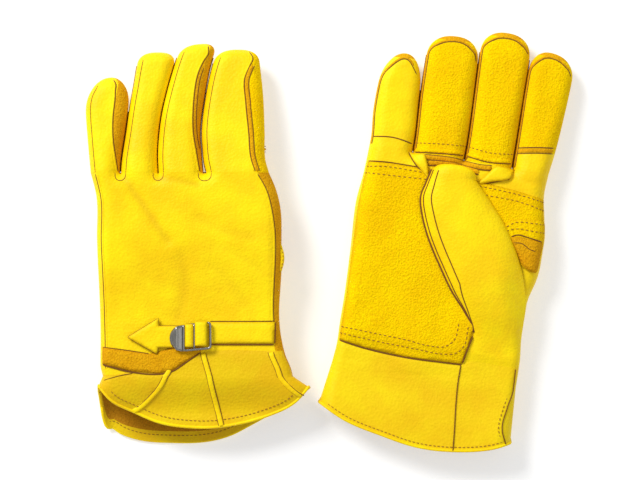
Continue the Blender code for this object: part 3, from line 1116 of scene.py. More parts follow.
        self.gusset(grids[0], grids[1], f"{lay.side}_outer_gusset")
        self.gusset(grids[0][:, ::-1], grids[1][:, ::-1], f"{lay.side}_inner_gusset")

    def gusset(self, back: np.ndarray, palm: np.ndarray, name: str) -> None:
        """Closes the slit between the first columns of the cuff's two halves, and rolls its hem.

        Args:
            back: the grid of the back.
            palm: the grid of the palm side.
            name: the name of the new piece.
        """
        shop, lay = self.glove.shop, self.lay
        share = np.linspace(0.0, 1.0, self.GUSSET_COLUMNS)[None, :, None]
        first, last = back[self.HEAD_ROWS:, :1], palm[self.HEAD_ROWS:, :1]
        strip = first * (1 - share) + last * share
        points = lay.place(strip.reshape(-1, 3))
        faces = loft(len(strip), self.GUSSET_COLUMNS, closed_ring=False)
        corner = points[list(faces[-1])]
        facing = np.cross(corner[1] - corner[0], corner[2] - corner[0])
        middle = lay.place(np.array([back[-1].mean(axis=0)]))[0]
        if np.dot(facing, corner.mean(axis=0) - middle) < 0:
            faces = [tuple(reversed(f)) for f in faces]
        self.glove.add("hand", make_sheet(name, points, faces, [shop.grain, shop.lining], 1.1,
                                          [GRAIN] * len(faces), lay.cuff_wear))
        lap = self.HEM_TRIM + 1
        hem = np.concatenate([back[-1, lap::-1], strip[-1], palm[-1, :lap + 1]])
        self.glove.add("hand", tube(name + "_roll", lay.place(hem), self.HEM_RADIUS, shop.grain))

    def down(self, grid: np.ndarray, shares: Sequence[float]) -> np.ndarray:
        """A path down the cuff, through shares of its width at equal steps from top to hem."""
        rows, columns = grid.shape[:2]
        table = list(zip(np.linspace(0, 1, len(shares)), shares))
        path = []
        for i in range(2, rows):
            u = float(read(table, np.array(i / (rows - 1))))
            column = np.interp(u, self.columns(), np.arange(columns))
            j = min(int(column), columns - 2)
            path.append(grid[i, j] + (grid[i, j + 1] - grid[i, j]) * (column - j))
        return np.array(path)

    def seam(self, path: np.ndarray, out: float, name: str) -> None:
        """A welted seam between two gores, with a shade on each side of the welt."""
        shop, lay = self.glove.shop, self.lay
        raised = path + np.array([0, 0, 0.15 * out])
        across = np.array([self.WELT_HALF_WIDTH, 0.0, 0.0])
        above = [0, 0, 0.1 * out]
        self.glove.add("hand", tube(name, lay.place(raised), 1.75, shop.grain, flat=0.38),
                       tube(name + "_shade_a", lay.place(raised + across + above), 0.3, shop.groove),
                       tube(name + "_shade_b", lay.place(raised - across + above), 0.24, shop.groove))

    def lapped_seam(self, path: np.ndarray, out: float, name: str, stitched: bool) -> None:
        """A flat seam, where one panel laps over the next, with a row of stitches if it is sewn through."""
        shop, lay = self.glove.shop, self.lay
        lap = path + np.array([0.0, 0.0, 0.5 * out])
        self.glove.add("hand", tube(name, lay.place(lap), 0.34, shop.groove))
        if stitched:
            row = path + np.array([-2.4, 0.0, 0.75 * out])
            self.glove.add("hand", shop.stitches.sew(name + "_stitches", [lay.place(row)], shop.thread,
                                                     *HEM_STITCH))


def make_sheet(name: str, points: np.ndarray, faces: Sequence, finishes: Sequence, wall_mm: float,
               slots: Sequence[int], wear: float) -> bpy.types.Object:
    """An open sheet with a wall, whose faces keep the way they were given.

    Args:
        name: the piece's name.
        points: its vertices, in metres.
        faces: its faces.
        finishes: its materials; the inner side uses the one after each face's own.
        wall_mm: the wall's thickness.
        slots: the material number of each face.
        wear: how much it is darkened, 0 to 1.

    Returns:
        The piece.
    """
    mesh = bpy.data.meshes.new(name)
    mesh.from_pydata([tuple(p) for p in points], [], [tuple(f) for f in faces])
    for finish in finishes:
        mesh.materials.append(finish)
    mesh.polygons.foreach_set("material_index", list(slots))
    layer = mesh.attributes.new("wear", "FLOAT", "POINT")
    layer.data.foreach_set("value", [wear] * len(points))
    mesh.shade_smooth()
    obj = bpy.data.objects.new(name, mesh)
    bpy.context.scene.collection.objects.link(obj)
    thicken(obj, wall_mm, inner_slot=1)
    return obj


def tube(name: str, path: np.ndarray, radius: float, finish: bpy.types.Material, flat: float = 1.0,
         sides: int = 8, closed: bool = False) -> bpy.types.Object:
    """A round cord along a path in metres.

    Args:
        name: the piece's name.
        path: its points.
        radius: its radius in mm.
        finish: its material.
        flat: its height as a share of its width.
        sides: sides of its section.
        closed: whether the path is a loop.

    Returns:
        The piece.
    """
    count = len(path)
    if closed:
        run = np.roll(path, -1, axis=0) - np.roll(path, 1, axis=0)
    else:
        run = np.gradient(path, axis=0)
    run /= np.maximum(np.linalg.norm(run, axis=1), 1e-9)[:, None]
    up = np.tile([0.0, 0.0, 1.0], (count, 1))
    across = np.cross(run, up)
    across /= np.maximum(np.linalg.norm(across, axis=1), 1e-9)[:, None]
    up = np.cross(across, run)
    rings = []
    for k in range(sides):
        turn = 2 * math.pi * (k + 0.5) / sides
        rings.append(path + across * (radius * MM * math.cos(turn))
                     + up * (radius * MM * flat * math.sin(turn)))
    points = np.stack(rings, axis=1).reshape(-1, 3)
    faces = loft(count, sides, caps=not closed)
    if closed:
        last = (count - 1) * sides
        faces += [(last + j, last + (j + 1) % sides, (j + 1) % sides, j) for j in range(sides)]
    return make_piece(name, points, faces, [finish])


class Thumb:
    """The folded thumb, whose leather runs on as a wing down the hand to the wrist."""

    COLUMNS = 31
    ROWS = 72
    TIP_ROWS = 11
    TIP_REACH = (0.6, 7.6)
    TIP_BLUNT = 0.62

    # Left and right edge as (s, t), from the wing's foot up to the start of the tip.
    RAILS = (
        ((27.5, -22.0), (57.0, -22.0)), ((27.0, -10.0), (58.2, -8.0)), ((26.5, 5.3), (57.4, 10.0)),
        ((19.4, 16.8), (56.5, 26.0)), ((7.8, 30.0), (52.5, 43.0)), ((-2.9, 45.6), (46.5, 57.0)),
        ((-7.7, 53.0), (41.5, 65.5)), ((-13.3, 62.8), (37.5, 72.0)), ((-18.3, 74.3), (32.0, 79.5)),
        ((-21.1, 84.8), (24.5, 88.0)), ((-19.4, 93.9), (17.0, 96.0)), ((-17.6, 101.4), (11.5, 101.5)))

    def __init__(self, glove: Glove) -> None:
        """Reads the thumb's height from the frame."""
        self.glove = glove
        self.lay = glove.layout
        self.lift = self.lay.height + 2.0
        self.top = self.lay.stack

    def rail(self, which: int, fine: np.ndarray) -> np.ndarray:
        """One edge of the thumb at shares of its length: 0 is the left rail, 1 the right."""
        own = np.linspace(0.0, 1.0, len(self.RAILS))
        return np.column_stack([read(list(zip(own, [pair[which][axis] for pair in self.RAILS])), fine)
                                for axis in (0, 1)])

    def across(self) -> np.ndarray:
        """Column places across the thumb, closer together at its edges."""
        return 0.5 + 0.5 * np.sin(np.linspace(-math.pi / 2, math.pi / 2, self.COLUMNS))

    def plan(self) -> Tuple[np.ndarray, np.ndarray, np.ndarray]:
        """The thumb's grid, seen from above.

        Returns:
            A rows x columns x 2 array of (s, t), each row's place from the wing's foot at 0 to the
            tip at 1, and its width as a share of the full width.
        """
        u = self.across()[:, None]
        k = np.linspace(0.0, 1.0, self.ROWS)
        left, right = self.rail(0, k), self.rail(1, k)
        rows = [one + (two - one) * u for one, two in zip(left, right)]
        width = [1.0] * self.ROWS
        mid, half = (left[-1] + right[-1]) / 2, (right[-1] - left[-1]) / 2
        for turn in np.linspace(0.0, math.pi / 2, self.TIP_ROWS + 1)[1:]:
            width.append(math.cos(turn) ** self.TIP_BLUNT)
            rows.append(mid + np.array(self.TIP_REACH) * math.sin(turn) + half * width[-1] * (2 * u - 1))
        return np.array(rows), np.concatenate([k, np.ones(self.TIP_ROWS)]), np.array(width)

    def levels(self, spots: np.ndarray, station: np.ndarray, width: np.ndarray) -> Tuple[np.ndarray, np.ndarray]:
        """Heights of the thumb's leather: a flat wing at its foot that swells into a full thumb.

        Args:
            spots: the plan's grid.
            station: each row's place from foot to tip.
            width: each row's share of the full width.

        Returns:
            The top and the underside, each a rows x columns array.
        """
        u = self.across()[None, :]
        tall = smooth((station - 0.08) / 0.34)[:, None]
        round_off = np.sqrt(np.maximum(0.0, 1 - np.abs(2 * u - 1) ** 2.6))
        body = (self.top - self.lift - 0.2) * round_off * width[:, None] ** 0.5
        ridge = np.exp(-((u - 0.32) / 0.3) ** 2)
        left_edge = np.sqrt(np.maximum(0.0, 1 - np.abs(np.minimum(2 * u - 1, 0)) ** 3))
        wing = 2.2 * left_edge * (0.55 + 0.45 * ridge) - 0.9 * (2 * u - 1).clip(0) ** 3
        merged = smooth((station - 0.25) / 0.3)[:, None]
        sink = np.clip((u - 0.62) / 0.38, 0, 1) ** 1.6 * (1 - merged)
        rise = (body * tall + wing * (1 - tall)) * (1 - sink) - sink * tall
        flat_spots = spots.reshape(-1, 2)
        palm = self.glove.skin.heights(flat_spots, None)[1].reshape(len(spots), -1)
        ground = palm + 0.5
        settle = self.lift - 1.2 * (1 - tall)
        z = np.where(tall < 1, (ground * (1 - tall) + settle * tall) + rise, settle + rise)
        dents = np.array([noise.noise(Vector((s / 16, t / 22, 5.0))) for s, t in flat_spots])
        z = z + dents.reshape(len(spots), -1) * 0.55 * round_off
        fade = smooth((spots[:, :, 1] + 18.0) / 38.0)
        z = palm + (z - palm) * fade - 0.7 * (1 - fade)
        return z, np.minimum(settle, z - 0.05) * tall + (ground - 1.0) * (1 - tall)

    def build(self) -> None:
        """Builds the thumb's shell and its seams."""
        lay = self.lay
        spots, station, width = self.plan()
        z, under = self.levels(spots, station, width)
        points = np.concatenate([np.dstack([spots, z]), np.dstack([spots, under])[:, -2:0:-1]], axis=1)
        rows, ring = points.shape[:2]
        piece = make_piece(f"{lay.side}_thumb_leather", lay.place(self.scaled(points.reshape(-1, 3))),
                           loft(rows, ring, caps=True), [self.glove.shop.grain], merge_mm=0.03)
        self.glove.add("thumb", piece)
        self.trim(spots, z)

    def scaled(self, points: np.ndarray) -> np.ndarray:
        """Shortens the thumb to this glove's palm, as the frame has it."""
        points = np.array(points, float)
        if self.lay.flip:
            points[:, 0] *= 0.96
            points[:, 1] *= self.lay.palm_scale
        return points

    def trim(self, spots: np.ndarray, z: np.ndarray) -> None:
        """Dark lines along the thumb's left side: the widest is painted shadow where it lifts off the palm, then
        a fold and a seam.
        """
        lay, shop = self.lay, self.glove.shop
        stop = len(spots) - 9
        # The under line is painted shadow beneath the thumb's left edge.
        for name, share, radius, high in (("under", 0.0, 1.05, 0.3), ("fold", 0.11, 0.46, 0.22),
                                          ("seam", 0.24, 0.38, 0.2)):
            path = []
            for i in range(13, stop):
                ease = min(1.0, (i - 11) / 16)
                column = share * (spots.shape[1] - 1) * ease
                j = int(column)
                f = column - j
                point = spots[i, j] * (1 - f) + spots[i, j + 1] * f
                path.append((*point, z[i, j] * (1 - f) + z[i, j + 1] * f + high))
            path = lay.place(self.scaled(np.array(path)))
            self.glove.add("thumb", tube(f"{lay.side}_thumb_{name}", path, radius, shop.groove, flat=0.6))


class WristStrap:
    """The strap round the wrist with its pull tab, wire frame and clamp lever."""

    UNDER = (0.2, 1.5)
    TOP = (3.2, 4.6)
    TAB = (1.8, 3.0)
    METAL_LIFT = 3.7
    CORNER = 1.8

    ANCHOR = ((-56.6, -18.9), (-36.8, -23.8), (-20.5, -24.9), (-12.3, -23.3), (-2.1, -16.7), (6.1, -11),
              (8, -5), (-6, -5), (-14.5, -9.4), (-26.7, -12.6), (-40.9, -10.5), (-56.6, -8.4))
    BAND = ((11, -6), (53.5, -6), (54.0, 7.8), (11, 7.8))
    TAB_EDGE = ((-40.4, -1.9), (-21.5, -12.6), (-20.8, -8.5), (1.5, -8.3), (2.2, -6.9), (11.4, -6.9), (11.4, 5.2),
                (1.5, 5.4), (-20.5, 5.3), (-20.5, 10.4))
    FRAME = ((-4.6, -10.2), (12.6, -8.6), (12.4, 7.6), (-4.6, 5.6))

    # Name, then the span in s and in t, of each strap folded over the frame.
    LOOPS = (("loop", -3.9, 1.9, -7.9, 6.6), ("keeper", 2.5, 10.7, -7.3, 8.3))

    # Name, path, half width, height and base of each dark line of painted shade beside the straps.
    SHADES = (
        ("anchor_shade", tuple((s, t - 0.5) for s, t in ANCHOR[:6]), 0.55, 0.4, 0.5),
        ("anchor_top", ((-56.6, -8.2), (-40.9, -10.2), (-26.7, -12.4)), 0.3, 0.2, 0.4),
        ("band_shade", ((12.0, -6.6), (32.0, -6.6), (53.0, -6.6)), 0.45, 0.4, 0.5),
        ("band_top", ((12.0, 8.2), (32.0, 8.2), (53.0, 8.4)), 0.3, 0.25, 0.4),
        ("band_end", ((53.4, -6.0), (53.7, 0.5), (53.9, 7.8)), 0.4, 0.5, 1.0),
        ("cuff_fold", ((-55.8, -29.4), (-46.0, -26.6), (-36.8, -24.8)), 0.32, 0.4, 0.4))

    def __init__(self, glove: Glove) -> None:
        """Lays the strap on the back of the hand."""
        self.glove = glove
        self.side = glove.layout.side
        self.drape = Drape(glove.skin, Side.BACK)

    def build(self) -> None:
        """Builds the leather, then the metal."""
        shop, side, drape = self.glove.shop, self.side, self.drape
        add = self.glove.add
        add("hand", drape.patch(f"{side}_anchor_strap", self.ANCHOR, *self.UNDER, shop.flesh, curved=False))
        for name, path, half_width, high, base in self.SHADES:
            add("hand", drape.bead(f"{side}_{name}", path, half_width, high, shop.groove, base=base))
        add("hand", drape.patch(f"{side}_band", self.BAND, *self.UNDER, shop.grain, curved=False))
        for name, s0, s1, t0, t1 in self.LOOPS:
            outline = ((s0, t0), (s1, t0), (s1, t1), (s0, t1))
            add("hand", drape.patch(f"{side}_{name}", outline, *self.TOP, shop.grain, step=0.9, curved=False,
                                    crown=hump((s0 + s1) / 2, (s1 - s0) / 2)))
        add("tab", drape.patch(f"{side}_tab_leather", self.TAB_EDGE, *self.TAB, shop.grain, step=1.3,
                               curved=False))
        # Dark lines of painted shade along the tab's edges, skipping those that lie wholly at s > 0.
        edge = [*self.TAB_EDGE, self.TAB_EDGE[0]]
        for number, (one, two) in enumerate(zip(edge, edge[1:])):
            if one[0] > 0 and two[0] > 0:
                continue
            line = (one, ((one[0] + two[0]) / 2, (one[1] + two[1]) / 2), two)
            add("tab", drape.bead(f"{side}_tab_edge_{number}", line, 0.28, 0.3, shop.groove, base=2.0))
        self.metal()

    def metal(self) -> None:
        """The wire frame and the arched clamp lever with its barrel."""
        shop, side, drape = self.glove.shop, self.side, self.drape
        add = self.glove.add
        path = []
        for i, corner in enumerate(self.FRAME):
            here = np.array(corner)
            before, after = np.array(self.FRAME[i - 1]), np.array(self.FRAME[(i + 1) % 4])
            one = here + (before - here) / np.linalg.norm(before - here) * self.CORNER
            two = here + (after - here) / np.linalg.norm(after - here) * self.CORNER
            for k in np.linspace(0, 1, 6):
                path.append((1 - k) ** 2 * one + 2 * k * (1 - k) * here + k * k * two)
        fine = np.concatenate([np.linspace(a, b, 4, endpoint=False) for a, b in zip(path, path[1:] + path[:1])])
        under = smooth((fine[:, 1] - 1.5) / 3.0) * smooth((11.8 - fine[:, 0]) / 2.0)
        loop = drape.lift(fine, self.METAL_LIFT + 0.35 - 1.5 * under)
        add("hand", tube(f"{side}_wire_frame", loop, 0.8, shop.metal, sides=12, closed=True))
        bar = drape.lift(np.linspace((2.2, -8.8), (2.2, 6.6), 12), self.METAL_LIFT)
        add("hand", tube(f"{side}_centre_bar", bar, 0.7, shop.metal, sides=10))
        arc = [(-4.6 - 8.8 * math.sin(a) ** 0.85, -2.4 - 8.3 * math.cos(a)) for a in np.linspace(0.02, 3.12, 26)]
        add("lever", drape.patch(f"{side}_lever_plate", arc[::-1], self.METAL_LIFT - 0.2, self.METAL_LIFT + 0.7,
                                 shop.metal, step=0.55, curved=False, crown=self.arch))
        barrel = drape.lift(np.linspace((-4.5, -10.6), (-4.5, 5.9), 14), self.METAL_LIFT + 0.5)
        add("lever", tube(f"{side}_lever_barrel", barrel, 0.8, shop.metal, sides=12))

    def arch(self, spots: np.ndarray) -> np.ndarray:
        """Extra height of the lever's plate: a ridge across it, and a dip at its free end."""
        return 1.3 * np.exp(-((spots[:, 0] + 9.2) / 1.5) ** 2) - 0.4 * (spots[:, 0] < -11.5)


def hump(middle: float, half: float) -> Crown:
    """A round rise across a strap that is folded over something.

    Args:
        middle: the strap's middle, in s.
        half: half its width.

    Returns:
        A function that gives the extra height of spots, in mm.
    """
    def rise(spots: np.ndarray) -> np.ndarray:
        """Half an ellipse over the strap's width."""
        return 1.5 * np.sqrt(np.maximum(0, 1 - ((spots[:, 0] - middle) / half) ** 2))

    return rise


class PalmTrim:
    """Everything sewn on the palm: the patch, the saddle, the leaves and the folds at the finger roots."""

    PATCH = ((-57.7, -13.2), (-40.5, -15.7), (-13.9, -17.2), (6.3, -16.6), (22.4, -15.9), (24.5, -4.4),
             (26.0, 6.0), (30.0, 20.0), (38.0, 45.0), (50.0, 70.0), (59.3, 82.0), (57.4, 96.6), (39.3, 99.0),
             (14.8, 101.2), (-21.3, 103.4), (-42.8, 103.4), (-58.4, 102.2), (-59.4, 88.0), (-60.0, 72.0),
             (-59.0, 46.0), (-57.9, 16.0), (-57.9, -3.0))
    SADDLE = ((36.0, 68.5), (43.7, 62.0), (50.0, 52.0), (59.2, 50.0), (61.0, 60.0), (61.2, 72.0), (59.6, 82.3),
              (50.0, 82.2), (43.0, 81.6), (37.0, 79.3), (33.0, 75.0))
    LOW_SADDLE = ((39.5, 66.0), (45.5, 59.0), (50.5, 52.4), (59.4, 49.6), (60.4, 60.0), (60.2, 69.3),
                  (49.7, 70.8), (43.7, 71.3), (39.6, 69.6))
    LEAVES = (((-33.4, 112.6), (-29.5, 107.2), (-23.0, 101.2), (-18.6, 97.4), (-20.6, 106.5), (-24.4, 112.6)),
              ((35.0, 112.8), (24.7, 112.8), (17.7, 106.0), (13.8, 99.8), (22.3, 102.4), (32.9, 106.2)))
    FOLDS = (((-23.5, 110.9), (-4.0, 111.8), (12.7, 110.4), (20.5, 111.0)),
             ((-20.6, 107.7), (-3.3, 109.0), (13.0, 106.9)))
    ROWS = (
        ((-58.0, 99.2), (-42.3, 101.0), (-21.1, 101.0)), ((-58.4, 94.9), (-41.4, 95.7), (-20.4, 96.9)),
        ((15.1, 98.3), (39.3, 97.0), (57.0, 94.8)), ((19.9, 93.2), (40.1, 92.6), (57.8, 89.6)),
        ((-57.0, -4.8), (-36.1, -5.6), (-15.7, -6.4), (-1.3, -7.7), (9.6, -6.5), (15.0, -1.0), (15.9, 8.4)),
        ((-57.3, -9.0), (-35.3, -10.3), (-8.8, -11.2), (8.5, -11.6), (17.3, -9.6), (21.8, -3.7), (22.2, 7.4)),
        ((36.5, 76.0), (40.5, 78.9), (45.0, 80.0), (52.0, 80.3), (59.2, 80.6)),
        ((36.8, 73.0), (42.0, 75.1), (51.4, 75.3), (60.2, 75.4)))
    SADDLE_ROWS = 2
    ROW_LIFTS = (1.55, 2.5)

    # Name, path, half width, height and base of each dark line of seam and painted shade by the saddle and the
    # thumb's wing.
    SHADES = (
        ("saddle_seam", ((39.6, 69.6), (43.7, 71.5), (49.7, 71.0), (60.2, 69.5)), 0.4, 0.3, 2.5),
        ("saddle_fold", ((41.5, 66.0), (47.0, 66.5), (53.0, 63.5), (57.0, 62.8)), 0.3, 0.2, 2.7),
        ("wing_shade", ((22.6, -15.4), (24.6, -4.4), (26.2, 3.0)), 0.5, 0.5, 0.9))

    def __init__(self, glove: Glove) -> None:
        """Lays the trim on the palm."""
        self.glove = glove
        self.side = glove.layout.side
        self.k = glove.layout.palm_scale
        self.drape = Drape(glove.skin, Side.PALM)

    def fit(self, points: Sequence[Pair]) -> List[Pair]:
        """Shortens an outline to this glove's palm and keeps it inside the glove's edges."""
        lay = self.glove.layout
        fitted = []
        for s, t in points:
            t = t * self.k if t > 0 else t
            low = read(lay.hand_left, np.array(t)) + 1.0
            high = read(lay.hand_right, np.array(t)) - 0.8
            fitted.append((float(np.clip(s, low, high)), t))
        return fitted

    def felt(self, spots: np.ndarray) -> np.ndarray:
        """Soft uneven thickness of split leather."""
        return 0.15 * np.array([noise.noise(Vector((s / 3, t / 3, 1.0))) for s, t in spots])

    def raised(self, spots: np.ndarray) -> np.ndarray:
        """Lifts a leaf-shaped gusset by a millimetre all over."""
        return np.ones(len(spots))

    def build(self) -> None:
        """Builds the patches and sews them."""
        shop, side, drape = self.glove.shop, self.side, self.drape
        add = self.glove.add
        add("hand", drape.patch(f"{side}_palm_suede", self.fit(self.PATCH), 0.1, 1.35, shop.suede,
                                crown=self.felt, curved=False))
        under = [(s, t - 0.5) for s, t in self.fit(self.PATCH[:5])]
        above = [(s, t + 0.4) for s, t in self.fit(self.PATCH[-8:-5])][::-1]
        add("hand", drape.bead(f"{side}_patch_shade", under, 0.5, 0.3, shop.groove, base=0.3),
            drape.bead(f"{side}_patch_top_shade", above, 0.4, 0.25, shop.groove, base=0.2))
        add("hand", drape.patch(f"{side}_saddle", self.fit(self.SADDLE), 0.9, 2.3, shop.suede, crown=self.felt))
        add("hand", drape.patch(f"{side}_saddle_flesh", self.fit(self.LOW_SADDLE), 1.6, 2.75, shop.flesh,
                                crown=self.felt))
        for name, path, half_width, high, base in self.SHADES:
            add("hand", drape.bead(f"{side}_{name}", self.fit(path), half_width, high, shop.groove, base=base))
        self.roots()
        low, high = self.ROW_LIFTS
        flat_rows = len(self.ROWS) - self.SADDLE_ROWS
        lines = [drape.line(self.fit(row), low if i < flat_rows else high, 0.9)
                 for i, row in enumerate(self.ROWS)]
        add("hand", shop.stitches.sew(f"{side}_palm_stitches", lines, shop.thread, *PALM_STITCH))

    def roots(self) -> None:
        """The two leaf-shaped gussets and the suede folded up between them."""
        shop, side, drape = self.glove.shop, self.side, self.drape
        add = self.glove.add
        for number, row in enumerate(self.FOLDS):
            path = self.fit(row)
            below, above = [(s, t - 1.6) for s, t in path], [(s, t + 1.5) for s, t in path]
            add("hand", drape.bead(f"{side}_root_fold_{number}", path, 1.7, 0.9, shop.flesh, base=0.1),
                drape.bead(f"{side}_root_shade_{number}", below, 0.5, 0.35, shop.groove, base=0.3),
                drape.bead(f"{side}_root_top_{number}", above, 0.35, 0.3, shop.groove, base=0.3))
        for number, leaf in enumerate(self.LEAVES):
            outline = self.fit(leaf)
            add("hand", drape.patch(f"{side}_leaf_{number}", outline, 0.1, 1.9, shop.grain, step=1.0,
                                    crown=self.raised))
            edge = outline[:4] if number == 0 else outline[3:]
            add("hand", drape.bead(f"{side}_leaf_shade_{number}", [(s, t - 0.3) for s, t in edge], 0.55, 0.5,
                                   shop.groove, base=0.6))


class FingerTrim:
    """Seams, welts and stitches on the fingers of one glove."""

    # How far the patch's edge lies up each finger from the knuckle: left, middle and right.
    ROOT_RISE = {
        "pinky": (5.6, 6.9, 5.0),
        "ring": (1.4, 3.2, 4.6),
        "middle": (4.4, 2.8, 4.4),
        "index": (13.5, 15.6, 17.2),
    }

    def __init__(self, glove: Glove) -> None:
        """Remembers the glove."""
        self.glove = glove

    def build(self) -> None:
        """Dresses every finger on both faces."""
        lay, shop = self.glove.layout, self.glove.shop
        for finger in lay.fingers:
            name = f"{lay.side}_{finger.name}"
            back = Drape(self.glove.skin, Side.BACK, finger.name)
            palm = Drape(self.glove.skin, Side.PALM, finger.name)
            inner = self.glove.inset(finger, True, 3.6, lay.knuckle + 0.6, finger.tip_t - 6.0)
            self.glove.add(finger.name, back.bead(name + "_back_seam", inner, 0.26, 0.06, shop.groove),
                           shop.stitches.sew(name + "_back_stitches", [back.line(inner, 0.12, 0.8)], shop.thread,
                                             *FINE_STITCH))
            self.band(finger, back, name)
            edge, welt = finger.inset_path(1.2, 4.2, 16.0), finger.inset_path(0.6, 3.2, 12.0)
            self.glove.add(finger.name, palm.bead(name + "_tip_seam", edge, 0.34, 0.16, shop.groove),
                           palm.bead(name + "_tip_welt", welt, 0.6, 0.3, shop.flesh))
            self.sides(finger, name)
            self.base(finger, palm, name)

    def sides(self, finger: Finger, name: str) -> None:
        """Dark seam lines down both sides of a finger, at mid height, where the fourchettes meet, painted dark
        for the shade in the gap between fingers.
        """
        lay = self.glove.layout
        t = np.linspace(lay.knuckle + 0.8, finger.tip_t - finger.tip_round, 24)
        low, high = finger.edges(t)
        back, top = self.glove.skin.levels(t)
        for label, s in (("left", low), ("right", high)):
            if (finger.name, label) in (("pinky", "left"), ("index", "right")):
                continue
            path = lay.place(np.column_stack([s, t, (back + top) / 2]))
            self.glove.add(finger.name, tube(f"{name}_{label}_side", path, 0.45, self.glove.shop.groove))

    def band(self, finger: Finger, back: Drape, name: str) -> None:
        """The welt along the edge of the side band on the back of a finger."""
        shop = self.glove.shop
        if finger.name == "ring":
            return
        path = []
        for t in np.linspace(finger.root_t + 0.6, finger.tip_t - 1.6, 18):
            high = finger.edges(np.array([t]))[1][0]
            path.append((float(high - finger.band_width(t)), float(t)))
        self.glove.add(finger.name, back.bead(name + "_band_seam", path, 0.4, 0.16, shop.groove),
                       back.bead(name + "_band_welt", [(s - 0.8, t) for s, t in path], 0.55, 0.3, shop.grain))
        if finger.name == "index":
            welt = [(s + 1.6, t) for s, t in path if t < finger.tip_t - 7]
            shade = [(s + 1.35, t) for s, t in welt]
            self.glove.add(finger.name, back.bead(name + "_side_welt", welt, 1.3, 0.5, shop.flesh),
                           back.bead(name + "_side_shade", shade, 0.32, 0.3, shop.groove))
        if finger.name == "middle":
            fold = [(s + 2.2, t) for s, t in path if finger.root_t + 14 < t < finger.tip_t - 12]
            self.glove.add(finger.name, back.bead(name + "_band_fold", fold, 0.3, 0.1, shop.groove))

    def base(self, finger: Finger, palm: Drape, name: str) -> None:
        """The patch edge and the stitches across the root of a finger."""
        shop, knuckle = self.glove.shop, self.glove.layout.knuckle
        low, high = finger.edges(np.array([knuckle + 5.0]))
        left, right = low[0] + 0.5, high[0] - 0.5
        places = (left, (left + right) / 2, right)
        edge = [(s, knuckle + rise) for s, rise in zip(places, self.ROOT_RISE[finger.name])]
        if finger.name in ("pinky", "index"):
            self.glove.add(finger.name, palm.bead(name + "_base_seam", edge, 0.42, 0.25, shop.groove))
        if finger.name in ("ring", "middle"):
            row, shade = [(s, t + 4.6) for s, t in edge], [(s, t - 1.4) for s, t in edge]
            self.glove.add(finger.name, palm.bead(name + "_base_edge", edge, 1.4, 0.8, shop.suede),
                           palm.bead(name + "_base_shade", shade, 0.55, 0.35, shop.groove),
                           shop.stitches.sew(name + "_base_stitches", [palm.line(row, 0.2, 0.8)], shop.thread,
                                             *ROOT_STITCH))
        if finger.name == "index":
            fold, welt = [(s, t - 3.7) for s, t in edge], [(s, t - 1.9) for s, t in edge]
            self.glove.add(finger.name, palm.bead(name + "_base_fold", fold, 0.36, 0.22, shop.groove),
                           palm.bead(name + "_base_welt", welt, 1.3, 0.4, shop.flesh))


class Studio:
    """White sweep, big soft lights and a camera straight above."""

    VIEW_WIDTH = 0.4096
    VIEW_CENTRE = (-0.0060, 0.0006)
    SENSOR = 36.0
    HEIGHT = 1.6

    def build(self) -> None:
        """Builds the stage, the lights and the camera."""
        scene = bpy.context.scene
        scene.view_settings.view_transform = "Standard"
        floor = bpy.data.meshes.new("floor")
        wide = 3.0
        floor.from_pydata([(-wide, -wide, 0), (wide, -wide, 0), (wide, wide, 0), (-wide, wide, 0)], [],
                          [(0, 1, 2, 3)])
        paper = bpy.data.materials.new("white_paper")
        paper.use_nodes = True
        shader = paper.node_tree.nodes["Principled BSDF"]
        shader.inputs["Base Color"].default_value = linear("#D4D4D4")
        shader.inputs["Roughness"].default_value = 0.9
        shader.inputs["Specular IOR Level"].default_value = 0.1
        shader.inputs["Emission Color"].default_value = (1.0, 1.0, 1.0, 1.0)
        shader.inputs["Emission Strength"].default_value = 0.42
        floor.materials.append(paper)
        sweep = bpy.data.objects.new("floor", floor)
        sweep.location.z = -0.0002
        scene.collection.objects.link(sweep)
        world = bpy.data.worlds.new("studio")
        world.use_nodes = True
        world.node_tree.nodes["Background"].inputs[0].default_value = (1.0, 1.0, 1.0, 1.0)
        world.node_tree.nodes["Background"].inputs[1].default_value = 0.5
        scene.world = world
        self.light("key", (-1.7, 1.9, 2.0), 1.1, 98.0)
        self.light("fill", (0.9, -0.35, 1.5), 1.4, 3.5)
        camera = bpy.data.cameras.new("camera")
        camera.sensor_width = self.SENSOR
        camera.lens = self.SENSOR * (self.HEIGHT - 0.02) / self.VIEW_WIDTH
        eye = bpy.data.objects.new("camera", camera)
        eye.location = (*self.VIEW_CENTRE, self.HEIGHT)
        scene.collection.objects.link(eye)
        scene.camera = eye

    def light(self, name: str, place: Tuple[float, float, float], size: float, power: float) -> None:
        """A square soft light aimed at the gloves."""
        lamp = bpy.data.lights.new(name, "AREA")
        lamp.size = size
        lamp.energy = power
        obj = bpy.data.objects.new(name, lamp)
        obj.location = place
        obj.rotation_euler = (Vector((0, 0, 0)) - Vector(place)).to_track_quat("-Z", "Y").to_euler()
        bpy.context.scene.collection.objects.link(obj)


PINKY_BAND = ((0, 0.8), (0.1, 2.0), (0.42, 7.0), (0.7, 8.4), (0.86, 6.5), (0.94, 3.4), (1, 1.6))
MIDDLE_BAND = ((0, 1.6), (0.16, 2.7), (0.29, 3.8), (0.475, 5.4), (0.66, 6.5), (0.77, 6.2), (0.9, 4.0), (1, 1.4))
INDEX_BAND = ((0, 8.2), (0.07, 8.6), (0.33, 10.0), (0.57, 11.2), (0.75, 10.8), (0.87, 6.0), (0.94, 3.0),
              (1, 1.6))

# Where the cuff's back is sewn on, the same on both gloves.
BACK_TOP = ((-60, -25.6), (-48, -25.2), (-36.8, -22.8), (-20.5, -22.5), (-12.3, -21.0), (-2.1, -14.5),
            (6.1, -9.6), (14.0, -7.6), (66.0, -7.4))
